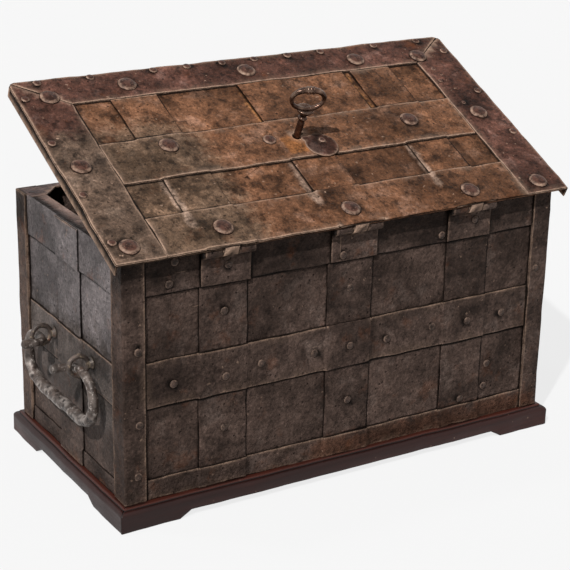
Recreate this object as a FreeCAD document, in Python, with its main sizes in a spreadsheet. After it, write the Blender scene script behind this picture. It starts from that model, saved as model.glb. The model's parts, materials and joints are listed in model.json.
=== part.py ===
import FreeCAD, Part
import math
import os
import Sketcher
from types import SimpleNamespace

# An iron armada chest on a moulded plinth, seen from its hinge side at -Y.
# The origin is at the centre of the footprint on the ground, +Z is up.

RIGHT_ANGLE = 90
Vector = FreeCAD.Vector
doc = FreeCAD.newDocument("ArmadaChest")

# Driving dimensions in millimetres, angles in degrees
SIZES = {
    # Chest body above the plinth
    "length": 600,
    "depth": 300,
    "height": 300,
    "wall": 2,
    "strap": 2,
    "iron": 4,
    "iron_leg_long": 28,
    "iron_leg_end": 30,
    "iron_round": 2.5,
    "strap_width": 62,
    "strap_inset": 128,
    "ramp": 3,
    "top_band": 48,
    "middle_band_low": 115,
    "middle_band": 57,
    "bottom_band": 26,
    "end_top_band": 50,
    "end_middle_band_low": 114,
    "end_middle_band": 52,
    "end_bottom_band": 20,
    # Rim flanges on the walls
    "rim": 3,
    "rim_end_width": 24,
    "rim_long_width": 15,
    "rim_end_inset": 42,
    "gusset": 24,
    # Plinth
    "plinth_height": 28,
    "plinth_out": 11,
    "plinth_width": 30,
    "plinth_ledge": 6.5,
    "plinth_quirk": 2,
    "plinth_round": 6,
    "foot": 76,
    "foot_slope": 15,
    "foot_rise": 9,
    # Hinges
    "hinge_left_inset": 130,
    "hinge_mid": 3,
    "hinge_right_inset": 129,
    "hinge_width": 64,
    "hinge_out": 6,
    "knuckle": 6.5,
    "knuckle_length": 20,
    "knuckle_gap": 0.4,
    "leaf": 3,
    "hinge_pin": 3.7,
    "hinge_pin_head": 5.2,
    "hinge_pin_head_length": 2.5,
    "pin_play": 0.08,
    # Lid, with y measured from the hinge axis while the lid is closed
    "lid_open": 24.9,
    "lid_end_over": 13,
    "lid_front_over": 13,
    "lid_near_over": 4.6,
    "lid_sheet": 2,
    "lid_strip": 1.6,
    "lid_play": 0.3,
    "lid_corner": 8,
    "flange_drop": 15,
    "lid_strap_width": 60,
    "left_border": 63,
    "right_border": 64,
    "front_border": 51,
    "lid_band_under_key": 38,
    "lid_middle_band": 73,
    "lid_rear_band": 53,
    "patch_gap": 11,
    # Rivets
    "dome": 10,
    "dome_rise": 6.5,
    "small_dome": 7,
    "small_dome_rise": 4.5,
    "edge_dome": 5,
    "edge_dome_rise": 3.2,
    "nail": 3,
    "nail_rise": 1.5,
    "edge_rivet_inset": 6,
    "end_rivet_inset": 10,
    "rivet": 4.7,
    "rivet_rise": 3,
    # End handles
    "handle_back": 8,
    "eye_height": 174,
    "eye_pitch": 108,
    "eye_ring": 12,
    "eye_wire": 3,
    "eye_out": 15,
    "eye_foot": 8,
    "eye_neck": 4.5,
    "rod": 5,
    "rod_drop": 3.7,
    "handle_half": 93,
    "handle_fall": 61,
    "handle_shoulder": 20,
    "handle_corner": 28,
    "handle_tip": 28,
    "handle_tip_in": 12,
    "tip_bend": 9,
    "tip_flare": 6,
    "grip": 7,
    "grip_half": 60,
    # Key and keyhole
    "key_turned": 13,
    "key_shank": 4.5,
    "key_bore": 2.3,
    "key_end": 17.4,
    "bit_reach": 10,
    "bit": 3,
    "bit_top": 4.4,
    "bit_length": 10,
    "ward": 1.4,
    "keyhole": 5.2,
    "keyhole_slot": 4.2,
    "keyhole_reach": 11,
    "collar": 8.5,
    "collar_low": 30.6,
    "collar_high": 34.6,
    "cup_low": 4.6,
    "cup": 11,
    "cup_high": 43.6,
    "bow_across": 23.5,
    "bow_up": 20,
    "bow_rod": 3.2,
    "reed": 4.1,
    "reed_length": 3,
    "reed_gap": 4.2,
    "reed_drop": 0.8,
    # Keyhole cover, placed from the key axis
    "cover_pivot_x": 27.5,
    "cover_pivot_y": 15,
    "cover": 1.4,
    "cover_play": 0.2,
    "cover_disc": 21,
    "cover_disc_x": 23.5,
    "cover_disc_y": 22,
    "cover_tip": 5,
    "cover_tip_x": 8,
    "cover_tip_y": 7,
    "cover_rivet": 2.5,
    "cover_rivet_head": 4.5,
    "cover_rivet_rise": 2.6,
    # Lock, measured down from the underside of the lid sheet
    "throw": 16,
    "turn": 45,
    "base": 2,
    "base_inset": 38,
    "bolt_lift": 1.9,
    "bolt": 5,
    "layer_play": 1,
    "lever": 3,
    "bridge_play": 1.5,
    "bridge": 2,
    "bridge_width": 12,
    "bridge_half": 36,
    "bridge_post": 3.8,
    "bar_width": 14,
    "front_bolt_gap": 9,
    "end_bolt_gap": 3,
    "head": 8,
    "head_half": 45,
    "prong": 9,
    "drive_pin": 3,
    "slot_play": 0.4,
    "slot_length": 9,
    "tail": 3.4,
    "hub_boss": 12.4,
    "hub_play": 0.3,
    "hub_centre": 15,
    "lever_inset": 150,
    "lever_arm": 30,
    "lever_width": 10,
    "lever_eye": 8,
    "lever_post": 4,
    "post_head": 6,
    "guide_wall": 3,
    "guide_length": 8,
    "guide_play": 0.3,
    "guide_to_lever": 60,
    "guide_end_inset": 57,
    "guide_front_inset": 44,
    "guide_spread": 38,
    "spring": 1.2,
    "spring_radius": 60,
    "spring_half": 23.5,
    "spring_height": 4,
    "spring_play": 0.2,
    "spring_foot": 7,
    "spring_to_guide": 38,
    # Overrun of cutting tools
    "overrun": 5,
}

sheet = doc.addObject("Spreadsheet::Sheet", "Sizes")
for row, (name, value) in enumerate(SIZES.items(), start=1):
    sheet.set(f"A{row}", name)
    sheet.set(f"B{row}", str(value))
    sheet.setAlias(f"B{row}", name)
doc.recompute()


class Size:
    """A number together with the sheet expression that yields it."""

    def __init__(self, value, text):
        self.value = float(value)
        self.text = text

    def __add__(self, other):
        other = as_size(other)
        return Size(self.value + other.value, f"({self.text} + {other.text})")

    def __sub__(self, other):
        other = as_size(other)
        return Size(self.value - other.value, f"({self.text} - {other.text})")

    def __mul__(self, other):
        other = as_size(other)
        return Size(self.value * other.value, f"({self.text} * {other.text})")

    def __truediv__(self, other):
        other = as_size(other)
        return Size(self.value / other.value, f"({self.text} / {other.text})")

    def __radd__(self, other):
        return as_size(other) + self

    def __rmul__(self, other):
        return as_size(other) * self

    def __neg__(self):
        return Size(-self.value, f"(0 - {self.text})")


def as_size(item):
    """Turn a plain number into a Size."""
    return item if isinstance(item, Size) else Size(item, f"({item:.12g})")


def cosine(angle):
    return Size(math.cos(math.radians(angle.value)), f"cos({angle.text} * 1 deg)")


def sine(angle):
    return Size(math.sin(math.radians(angle.value)), f"sin({angle.text} * 1 deg)")


def arc_sine(share):
    """The angle in degrees that has this sine."""
    return Size(math.degrees(math.asin(share.value)), f"(asin({share.text}) / 1 deg)")


def root(number):
    return Size(math.sqrt(number.value), f"sqrt({number.text})")


def turned(place, angle):
    """A place turned about the origin by an angle."""
    across, up = as_size(place[0]), as_size(place[1])
    return (across * cosine(angle) - up * sine(angle), across * sine(angle) + up * cosine(angle))


def tie(item, name, size):
    """Bind a property of an object to a size."""
    item.setExpression(name, as_size(size).text)


def place(item, across=0, along=0, up=0):
    """Bind the position of an object to three sizes."""
    for name, size in (("x", across), ("y", along), ("z", up)):
        tie(item, "Placement.Base." + name, size)


d = SimpleNamespace(**{name: Size(value, "Sizes." + name) for name, value in SIZES.items()})

# Sizes worked out from the driving ones
half_length = d.length / 2
half_depth = d.depth / 2
floor_level = d.plinth_height
top_level = d.plinth_height + d.height
sheet_above_axis = d.knuckle + d.lid_play
hinge_y = -(half_depth + d.hinge_out)
hinge_z = top_level + d.lid_play - sheet_above_axis
sheet_top = sheet_above_axis + d.lid_sheet
strip_top = sheet_top + d.lid_strip
step_top = strip_top + d.lid_strip
lid_half = half_length + d.lid_end_over
lid_near = -d.lid_near_over
lid_front = d.hinge_out + d.depth + d.lid_front_over
lid_centre = half_depth + d.hinge_out
border_front = lid_front - d.front_border
border_left = d.left_border - lid_half
border_right = lid_half - d.right_border
hinge_places = (d.hinge_left_inset - half_length, d.hinge_mid, half_length - d.hinge_right_inset)
strap_pitch = half_length - d.strap_inset
strap_places = (-strap_pitch, as_size(0), strap_pitch)
rim_end_half = half_depth - d.rim_end_inset
band_low = lid_centre - d.lid_band_under_key
band_high = band_low + d.lid_middle_band

nodes = []


def keep(item, label):
    """Name a finished sub-part and put it on the list that is written out."""
    item.Label = label
    nodes.append(item)
    return item


def new_body(name):
    return doc.addObject("PartDesign::Body", name)


def pin_point(sketch, index, end, spot):
    """Tie one point of a sketch line or circle to two sizes."""
    for kind, size in (("DistanceX", spot[0]), ("DistanceY", spot[1])):
        size = as_size(size)
        number = sketch.addConstraint(Sketcher.Constraint(kind, -1, 1, index, end, size.value))
        sketch.setExpression(f"Constraints[{number}]", size.text)


def flat(spot):
    """A sketch point as a vector."""
    return Vector(as_size(spot[0]).value, as_size(spot[1]).value, 0)


def draw_polygon(sketch, corners):
    first = sketch.GeometryCount
    count = len(corners)
    for number in range(count):
        start = flat(corners[number])
        end = flat(corners[(number + 1) % count])
        sketch.addGeometry(Part.LineSegment(start, end), False)
    for number in range(count):
        following = first + (number + 1) % count
        sketch.addConstraint(Sketcher.Constraint("Coincident", first + number, 2, following, 1))
    for number in range(count):
        pin_point(sketch, first + number, 1, corners[number])


def draw_circle(sketch, centre, radius):
    index = sketch.addGeometry(Part.Circle(flat(centre), Vector(0, 0, 1), radius.value), False)
    pin_point(sketch, index, 3, centre)
    number = sketch.addConstraint(Sketcher.Constraint("Radius", index, radius.value))
    sketch.setExpression(f"Constraints[{number}]", radius.text)


def new_sketch(body, plane, level, figures):
    """A sketch on a plane of the body, moved to a level along the axis the plane leaves out."""
    sketch = body.newObject("Sketcher::SketchObject", "Outline")
    role = plane + "_Plane"
    support = [item for item in body.Origin.OriginFeatures if item.Role == role][0]
    sketch.AttachmentSupport = [(support, "")]
    sketch.MapMode = "FlatFace"
    level = as_size(level)
    tie(sketch, "AttachmentOffset.Base.z", -level if plane == "XZ" else level)
    for figure in figures:
        if isinstance(figure, list):
            draw_polygon(sketch, figure)
        else:
            draw_circle(sketch, *figure)
    return sketch


def pad(body, plane, figures, low, high):
    """Material between two levels. A list is a polygon, a pair is a circle."""
    low, high = as_size(low), as_size(high)
    feature = body.newObject("PartDesign::Pad", "Pad")
    feature.Profile = new_sketch(body, plane, high if plane == "XZ" else low, figures)
    tie(feature, "Length", high - low)
    body.Tip = feature
    return feature


def pocket(body, plane, figures, low, high):
    """A cut between two levels."""
    low, high = as_size(low), as_size(high)
    feature = body.newObject("PartDesign::Pocket", "Pocket")
    feature.Profile = new_sketch(body, plane, low if plane == "XZ" else high, figures)
    tie(feature, "Length", high - low)
    body.Tip = feature
    return feature


def revolve(body, corners):
    """A turned form about Z, from corners given as radius and height."""
    feature = body.newObject("PartDesign::Revolution", "Revolution")
    sketch = new_sketch(body, "XZ", 0, [corners])
    feature.Profile = sketch
    feature.ReferenceAxis = (sketch, ["V_Axis"])
    feature.Angle = 360
    body.Tip = feature
    return feature


def round_edges(body, radius, wanted):
    """Round the edges of the body's last feature that pass the test."""
    doc.recompute()
    base = body.Tip
    names = [f"Edge{number}" for number, edge in enumerate(base.Shape.Edges, start=1) if wanted(edge)]
    feature = body.newObject("PartDesign::Fillet", "Rounding")
    feature.Base = (base, names)
    tie(feature, "Radius", radius)
    body.Tip = feature
    return feature


def is_along(edge, axis):
    """True for a straight edge along an axis."""
    if len(edge.Vertexes) != 2:
        return False
    step = edge.Vertexes[1].Point - edge.Vertexes[0].Point
    return abs(step.normalize() * axis) > math.cos(math.radians(1))


def rectangle(across, up):
    """Corners of a rectangle from two pairs of limits."""
    return [(across[0], up[0]), (across[1], up[0]), (across[1], up[1]), (across[0], up[1])]


def group(label, items):
    """Several separate solids under one label."""
    item = doc.addObject("Part::Compound", label)
    item.Links = items
    return keep(item, label)


def fuse(items):
    item = doc.addObject("Part::MultiFuse", "Joined")
    item.Shapes = items
    return item


def cut(base, tool):
    item = doc.addObject("Part::Cut", "Cut")
    item.Base = base
    item.Tool = tool
    return item


def box(across, along, up):
    """A block between three pairs of limits."""
    item = doc.addObject("Part::Box", "Block")
    pairs = [(as_size(low), as_size(high)) for low, high in (across, along, up)]
    for name, (low, high) in zip(("Length", "Width", "Height"), pairs):
        tie(item, name, high - low)
    place(item, *[low for low, high in pairs])
    return item


def rod_along(axis, radius, low, high, spot):
    """A cylinder along X, Y or Z, between two levels, at a spot in the other two."""
    item = doc.addObject("Part::Cylinder", "Rod")
    tie(item, "Radius", radius)
    tie(item, "Height", as_size(high) - as_size(low))
    if axis == "X":
        item.Placement = FreeCAD.Placement(Vector(), FreeCAD.Rotation(Vector(0, 1, 0), 90))
        place(item, low, *spot)
    elif axis == "Y":
        item.Placement = FreeCAD.Placement(Vector(), FreeCAD.Rotation(Vector(1, 0, 0), -90))
        place(item, spot[0], low, spot[1])
    else:
        place(item, *spot, low)
    return item


def dome(radius, rise, spot, side):
    """A low round rivet head, seated on a face. Its side names the way that it looks."""
    item = doc.addObject("Part::Sphere", "Dome")
    curve = (radius * radius + rise * rise) / (2 * rise)
    sunk = curve - rise
    tie(item, "Radius", curve)
    tie(item, "Angle1", arc_sine(sunk / curve))
    turns = {
        "up": (Vector(1, 0, 0), 0, (0, 0, -1)),
        "rear": (Vector(1, 0, 0), 90, (0, 1, 0)),
        "front": (Vector(1, 0, 0), -90, (0, -1, 0)),
        "left": (Vector(0, 1, 0), -90, (1, 0, 0)),
        "right": (Vector(0, 1, 0), 90, (-1, 0, 0)),
    }
    axis, angle, back = turns[side]
    item.Placement = FreeCAD.Placement(Vector(), FreeCAD.Rotation(axis, angle))
    place(item, *[as_size(size) + sunk * step for size, step in zip(spot, back)])
    return item


def face_side(item, side):
    """Turn a piece that is modelled on the rear side to the side where it belongs."""
    angle = {"rear": 0, "right": 90, "front": 180, "left": -90}[side]
    item.Placement = FreeCAD.Placement(Vector(), FreeCAD.Rotation(Vector(0, 0, 1), angle))
    return item


def side_sizes(side):
    """Half the span along a side and the distance of its outer face from the centre."""
    return (half_length, half_depth) if side in ("rear", "front") else (half_depth, half_length)


SIDES = ("rear", "front", "left", "right")


# Plinth

def plinth_board(side):
    """A mitred board with a moulded top edge and two bracket feet."""
    span, out = side_sizes(side)
    end = span + d.plinth_out
    face = out + d.plinth_out
    inner = face - d.plinth_width
    shoulder = d.plinth_height - d.plinth_quirk
    board = new_body("PlinthBoard")
    section = [
        (-face, 0),
        (-face, shoulder),
        (d.plinth_ledge - face, shoulder),
        (d.plinth_ledge - face, d.plinth_height),
        (-inner, d.plinth_height),
        (-inner, 0),
    ]
    pad(board, "YZ", [section], -end, end)
    round_edges(board, d.plinth_round, lambda edge: is_along(edge, Vector(1, 0, 0))
                and edge.CenterOfMass.z > d.foot_rise.value
                and edge.CenterOfMass.y < (d.plinth_quirk - face).value)
    for sign in (-1, 1):
        mitre = [
            (sign * (end + d.overrun), -face - d.overrun),
            (sign * (end - d.plinth_width - d.overrun), d.overrun - inner),
            (sign * (end + d.overrun), d.overrun - inner),
        ]
        pocket(board, "XY", [mitre], -d.overrun, d.plinth_height + d.overrun)
    heel = end - d.foot
    arch = [
        (-heel, -d.overrun),
        (-heel, 0),
        (d.foot_slope - heel, d.foot_rise),
        (heel - d.foot_slope, d.foot_rise),
        (heel, 0),
        (heel, -d.overrun),
    ]
    pocket(board, "XZ", [arch], -face - d.overrun, d.overrun - inner)
    keep(face_side(board, side), f"plinth_{side}_board")


# Walls, floor and rim

def wall(side):
    """A plain sheet. The long sheets run to the corners and the end sheets butt between them."""
    span, out = side_sizes(side)
    face = out - d.iron
    end = span - d.iron if side in ("rear", "front") else span - d.iron - d.wall
    body = new_body("Wall")
    outline = rectangle((-end, end), (floor_level, top_level - d.rim))
    pad(body, "XZ", [outline], -face, d.wall - face)
    keep(face_side(body, side), f"wall_{side}")


def floor_sheet():
    across = half_length - d.iron - d.wall
    along = half_depth - d.iron - d.wall
    body = new_body("Floor")
    pad(body, "XY", [rectangle((-across, across), (-along, along))], floor_level, floor_level + d.wall)
    keep(body, "floor_sheet")


def rim_long(side):
    """A long rim flange with the slanting gussets of both corners."""
    across = half_length - d.iron
    along = half_depth - d.iron
    inner_x = half_length - d.rim_end_width
    inner_y = half_depth - d.rim_long_width
    gusset_x = inner_x - d.gusset
    outline = [
        (-across, -along),
        (across, -along),
        (across, -rim_end_half),
        (inner_x, -rim_end_half),
        (gusset_x, -inner_y),
        (-gusset_x, -inner_y),
        (-inner_x, -rim_end_half),
        (-across, -rim_end_half),
    ]
    body = new_body("Rim")
    pad(body, "XY", [outline], top_level - d.rim, top_level)
    keep(face_side(body, side), f"rim_{side}")


def rim_end(side):
    face = half_length - d.iron
    inner = half_length - d.rim_end_width
    body = new_body("Rim")
    outline = rectangle((-rim_end_half, rim_end_half), (-face, -inner))
    pad(body, "XY", [outline], top_level - d.rim, top_level)
    keep(face_side(body, side), f"rim_{side}")


def corner_iron(long_side, end_side):
    """A forged angle on an upright edge of the chest."""
    sign_x = -1 if end_side == "left" else 1
    sign_y = -1 if long_side == "rear" else 1
    inner_x = half_length - d.iron_leg_long
    inner_y = half_depth - d.iron_leg_end
    outline = [
        (half_length, half_depth),
        (inner_x, half_depth),
        (inner_x, half_depth - d.iron),
        (half_length - d.iron, half_depth - d.iron),
        (half_length - d.iron, inner_y),
        (half_length, inner_y),
    ]
    body = new_body("CornerIron")
    corners = [(sign_x * across, sign_y * along) for across, along in outline]
    pad(body, "XY", [corners], floor_level, top_level)
    near = (half_length - d.iron / 2).value
    round_edges(body, d.iron_round, lambda edge: is_along(edge, Vector(0, 0, 1))
                and abs(edge.CenterOfMass.x) > near
                and abs(edge.CenterOfMass.y) > (half_depth - d.iron / 2).value)
    keep(body, f"corner_iron_{long_side}_{end_side}")


# Lattice of straps and bands

def stepped(start, end, places, half, low, high, thickness):
    """A strip along a wall that steps over the strips it crosses, as polygon corners."""
    def edge(lift):
        run = [(start, low + lift)]
        for spot in places:
            run += [
                (spot - half - d.ramp, low + lift),
                (spot - half, high + lift),
                (spot + half, high + lift),
                (spot + half + d.ramp, low + lift),
            ]
        return run + [(end, low + lift)]
    return edge(as_size(0)) + list(reversed(edge(thickness)))


def outward(corners):
    """Swap a strip's height above the wall for its place on the rear side."""
    return [(across, -up) for across, up in corners]


def band(side, low, high, places):
    """A level band over the upright straps, from one corner iron to the other."""
    span, out = side_sizes(side)
    leg = d.iron_leg_long if side in ("rear", "front") else d.iron_leg_end
    face = out - d.iron
    body = new_body("Band")
    section = stepped(leg - span, span - leg, places, d.strap_width / 2, face, face + d.strap, d.strap)
    pad(body, "XY", [outward(section)], floor_level + low, floor_level + high)
    return face_side(body, side)


def long_straps(side, height):
    face = half_depth - d.iron
    half = d.strap_width / 2
    straps = []
    for spot in strap_places:
        body = new_body("Strap")
        outline = rectangle((spot - half, spot + half), (floor_level, floor_level + height))
        pad(body, "XZ", [outline], -face - d.strap, -face)
        straps.append(face_side(body, side))
    group(f"{side}_straps", straps)


def long_bands(side, top_places):
    bands = [
        band(side, d.height - d.top_band, d.height, top_places),
        band(side, d.middle_band_low, d.middle_band_low + d.middle_band, strap_places),
        band(side, as_size(0), d.bottom_band, strap_places),
    ]
    group(f"{side}_bands", bands)


def end_bands(side):
    """Bands of an end, with the centre strap that lies over the top and bottom bands."""
    bands = [
        band(side, d.height - d.end_top_band, d.height, ()),
        band(side, d.end_middle_band_low, d.end_middle_band_low + d.end_middle_band, (as_size(0),)),
        band(side, as_size(0), d.end_bottom_band, ()),
    ]
    face = half_length - d.iron
    low_step = floor_level + d.end_bottom_band
    high_step = top_level - d.end_top_band
    path = [
        (floor_level, d.strap),
        (low_step, d.strap),
        (low_step + d.ramp, as_size(0)),
        (high_step - d.ramp, as_size(0)),
        (high_step, d.strap),
        (top_level, d.strap),
    ]
    inner = [(-face - lift, level) for level, lift in path]
    outer = [(-face - lift - d.strap, level) for level, lift in reversed(path)]
    strap = new_body("Strap")
    pad(strap, "YZ", [inner + outer], -d.strap_width / 2, d.strap_width / 2)
    group(f"{side}_bands", bands + [face_side(strap, side)])


# Hinges

def hinge_leaf(spot):
    """A leaf on the top band with its two outer knuckles."""
    half = d.hinge_width / 2
    notch = d.knuckle_length / 2 + d.knuckle_gap
    back = -half_depth + d.iron - d.strap
    notch_low = hinge_z - d.knuckle - d.knuckle_gap
    outline = [
        (spot - half, top_level - d.top_band),
        (spot + half, top_level - d.top_band),
        (spot + half, hinge_z),
        (spot + notch, hinge_z),
        (spot + notch, notch_low),
        (spot - notch, notch_low),
        (spot - notch, hinge_z),
        (spot - half, hinge_z),
    ]
    body = new_body("Leaf")
    pad(body, "XZ", [outline], back - d.leaf, back)
    axis = (hinge_y, hinge_z)
    pad(body, "YZ", [(axis, d.knuckle)], spot - half, spot - notch)
    pad(body, "YZ", [(axis, d.knuckle)], spot + notch, spot + half)
    bore = d.hinge_pin + d.pin_play
    pocket(body, "YZ", [(axis, bore)], spot - half - d.overrun, spot + half + d.overrun)
    return body


def hinge_pin(spot):
    half = d.hinge_width / 2
    axis = (hinge_y, hinge_z)
    shank = rod_along("X", d.hinge_pin, spot - half, spot + half, axis)
    head = rod_along("X", d.hinge_pin_head, spot - half - d.hinge_pin_head_length, spot - half, axis)
    return fuse([head, shank])


# Lid, modelled closed with the hinge axis as its own origin

def place_on_lid(item):
    """Hang a piece on the hinge axis at the angle of the open lid."""
    item.Placement = FreeCAD.Placement(Vector(), FreeCAD.Rotation(Vector(1, 0, 0), d.lid_open.value))
    tie(item, "Placement.Rotation.Angle", d.lid_open)
    place(item, 0, hinge_y, hinge_z)
    return item


def place_under_lid(item):
    """Set a piece on the lid, measured from the key axis at the underside of the lid sheet."""
    tilt = FreeCAD.Rotation(Vector(1, 0, 0), d.lid_open.value)
    item.Placement = FreeCAD.Placement(Vector(), tilt)
    tie(item, "Placement.Rotation.Angle", d.lid_open)
    along, up = turned((lid_centre, sheet_above_axis), d.lid_open)
    place(item, 0, hinge_y + along, hinge_z + up)
    return item


def cut_keyhole(body, centre_y, low, high):
    """The round hole for the shank, with the slot that the bit passes."""
    home = d.turn - d.key_turned
    half = d.keyhole_slot / 2
    pocket(body, "XY", [((0, centre_y), d.keyhole)], low, high)
    slot = [turned(corner, home) for corner in rectangle((0, d.keyhole_reach), (-half, half))]
    pocket(body, "XY", [[(across, along + centre_y) for across, along in slot]], low, high)


def lid_sheet():
    """The lid's main sheet with its flange on the front and both ends."""
    body = new_body("LidSheet")
    low = strip_top - d.flange_drop
    pad(body, "XY", [rectangle((-lid_half, lid_half), (lid_near, lid_front))], low, sheet_top)
    round_edges(body, d.lid_corner, lambda edge: is_along(edge, Vector(0, 0, 1))
                and edge.CenterOfMass.y > lid_centre.value)
    inner_x = lid_half - d.lid_sheet
    hollow = rectangle((-inner_x, inner_x), (lid_near - d.overrun, lid_front - d.lid_sheet))
    pocket(body, "XY", [hollow], low - d.overrun, sheet_above_axis)
    cut_keyhole(body, lid_centre, sheet_above_axis - d.overrun, sheet_top + d.overrun)
    keep(place_on_lid(body), "lid_sheet")


def lid_borders():
    """Three flat strips round the lid, mitred at the front corners."""
    diagonal_in = d.lid_corner * (1 - math.sqrt(0.5))
    corner = (lid_half - diagonal_in, lid_front - diagonal_in)
    front = [
        (d.lid_corner - lid_half, lid_front),
        (lid_half - d.lid_corner, lid_front),
        corner,
        (border_right, border_front),
        (border_left, border_front),
        (-corner[0], corner[1]),
    ]
    left = [
        (-lid_half, lid_near),
        (border_left, lid_near),
        (border_left, border_front),
        (-corner[0], corner[1]),
        (-lid_half, lid_front - d.lid_corner),
    ]
    right = [
        (lid_half, lid_near),
        (border_right, lid_near),
        (border_right, border_front),
        corner,
        (lid_half, lid_front - d.lid_corner),
    ]
    for side, outline in (("front", front), ("left", left), ("right", right)):
        body = new_body("Border")
        pad(body, "XY", [outline], sheet_top, strip_top)
        keep(place_on_lid(body), f"lid_{side}_border")


def lid_band(label, low, high, keyed):
    """A band from border to border that steps over the three lid straps."""
    body = new_body("LidBand")
    half = d.lid_strap_width / 2
    section = stepped(border_left, border_right, hinge_places, half, sheet_top, strip_top, d.lid_strip)
    pad(body, "XZ", [section], low, high)
    if keyed:
        cut_keyhole(body, lid_centre, sheet_top - d.overrun, step_top + d.overrun)
    keep(place_on_lid(body), label)


def lid_strap(label, spot, patch, keyed):
    """A lid strap whose tongue turns down over the near edge and rolls into the hinge knuckle."""
    half = d.lid_strap_width / 2
    tongue = d.knuckle_length / 2
    outline = [
        (spot - half, lid_near),
        (spot - tongue, lid_near),
        (spot - tongue, -d.knuckle),
        (spot + tongue, -d.knuckle),
        (spot + tongue, lid_near),
        (spot + half, lid_near),
    ]
    if patch:
        reach = hinge_places[2] - half - d.patch_gap
        outline += [(spot + half, band_high), (reach, band_high), (reach, border_front)]
    else:
        outline.append((spot + half, border_front))
    outline.append((spot - half, border_front))
    body = new_body("LidStrap")
    pad(body, "XY", [outline], sheet_top, strip_top)
    lip = rectangle((spot - tongue, spot + tongue), (-d.knuckle, d.lid_strip - d.knuckle))
    pad(body, "XY", [lip], 0, strip_top)
    pad(body, "YZ", [((0, 0), d.knuckle)], spot - tongue, spot + tongue)
    bore = d.hinge_pin + d.pin_play
    pocket(body, "YZ", [((0, 0), bore)], spot - tongue - d.overrun, spot + tongue + d.overrun)
    if keyed:
        cut_keyhole(body, lid_centre, sheet_top - d.overrun, strip_top + d.overrun)
    keep(place_on_lid(body), label)


# Rivets

def span_of(low, high):
    """The middle and half the width of a stretch."""
    return ((low + high) / 2, (high - low) / 2)


def at_share(span, share):
    """A place in a stretch, from its middle, as a share of half its width."""
    return span[0] + span[1] * share


def wall_spans():
    """The stretches of a long side: its irons, its straps, the panels between, and the leaves."""
    half = d.strap_width / 2
    inner = half_length - d.iron_leg_long
    edges = [-half_length, -inner]
    for spot in strap_places:
        edges += [spot - half, spot + half]
    edges += [inner, half_length]
    names = ("iron_0", "panel_0", "strap_0", "panel_1", "strap_1", "panel_2", "strap_2", "panel_3", "iron_1")
    spans = {name: span_of(low, high) for name, low, high in zip(names, edges, edges[1:])}
    for number, spot in enumerate(hinge_places):
        spans[f"leaf_{number}"] = (spot, d.hinge_width / 2)
    return spans


def wall_rivets():
    """Rivet heads on the rear and the front."""
    wall_face = half_depth - d.iron
    faces = {
        "wall": wall_face,
        "flat": wall_face + d.strap,
        "step": wall_face + d.strap * 2,
        "leaf": wall_face + d.strap + d.leaf,
    }
    # Places as shares of half the stretch across, and of the height from the floor level
    rear_shares = [
        ("flat", "panel_0", -0.11, 0.872), ("flat", "panel_0", 0.10, 0.958),
        ("flat", "panel_0", 0.05, 0.467), ("step", "iron_0", 0.33, 0.628),
        ("step", "iron_0", 0.37, 0.329), ("step", "iron_0", 0.20, 0.115),
        ("step", "strap_0", 0.09, 0.456), ("flat", "strap_0", 0.03, 0.724),
        ("flat", "strap_0", 0.07, 0.237), ("flat", "panel_1", -0.63, 0.475),
        ("flat", "panel_1", 0.69, 0.468), ("flat", "strap_1", 0.01, 0.718),
        ("step", "strap_1", 0.06, 0.471), ("flat", "strap_1", 0.06, 0.231),
        ("flat", "panel_2", -0.53, 0.463), ("flat", "panel_2", 0.70, 0.473),
        ("flat", "panel_2", 0.83, 0.869), ("step", "strap_2", 0.16, 0.469),
        ("flat", "strap_2", 0.08, 0.110), ("flat", "panel_3", -0.145, 0.472),
        ("wall", "panel_3", -0.736, 0.144), ("wall", "panel_3", -0.632, 0.245),
        ("step", "iron_1", -0.33, 0.645), ("leaf", "leaf_1", -0.497, 0.865),
        ("leaf", "leaf_0", 0.08, 0.915), ("leaf", "leaf_2", 0.244, 0.916),
    ]
    front_shares = []
    for up in (0.915, 0.478):
        front_shares += [("flat", f"panel_{number}", 0, up) for number in range(4)]
        front_shares += [("step", f"strap_{number}", 0, up) for number in range(3)]
    for up in (0.72, 0.22):
        front_shares += [("step", "iron_0", 0.33, up), ("step", "iron_1", -0.33, up)]
    spans = wall_spans()
    heads = []
    for side, shares, sign in (("rear", rear_shares, -1), ("front", front_shares, 1)):
        for layer, stretch, across, up in shares:
            spot = (at_share(spans[stretch], across), sign * faces[layer], floor_level + d.height * up)
            heads.append(dome(d.rivet, d.rivet_rise, spot, side))
    group("wall_rivets", heads)


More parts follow.
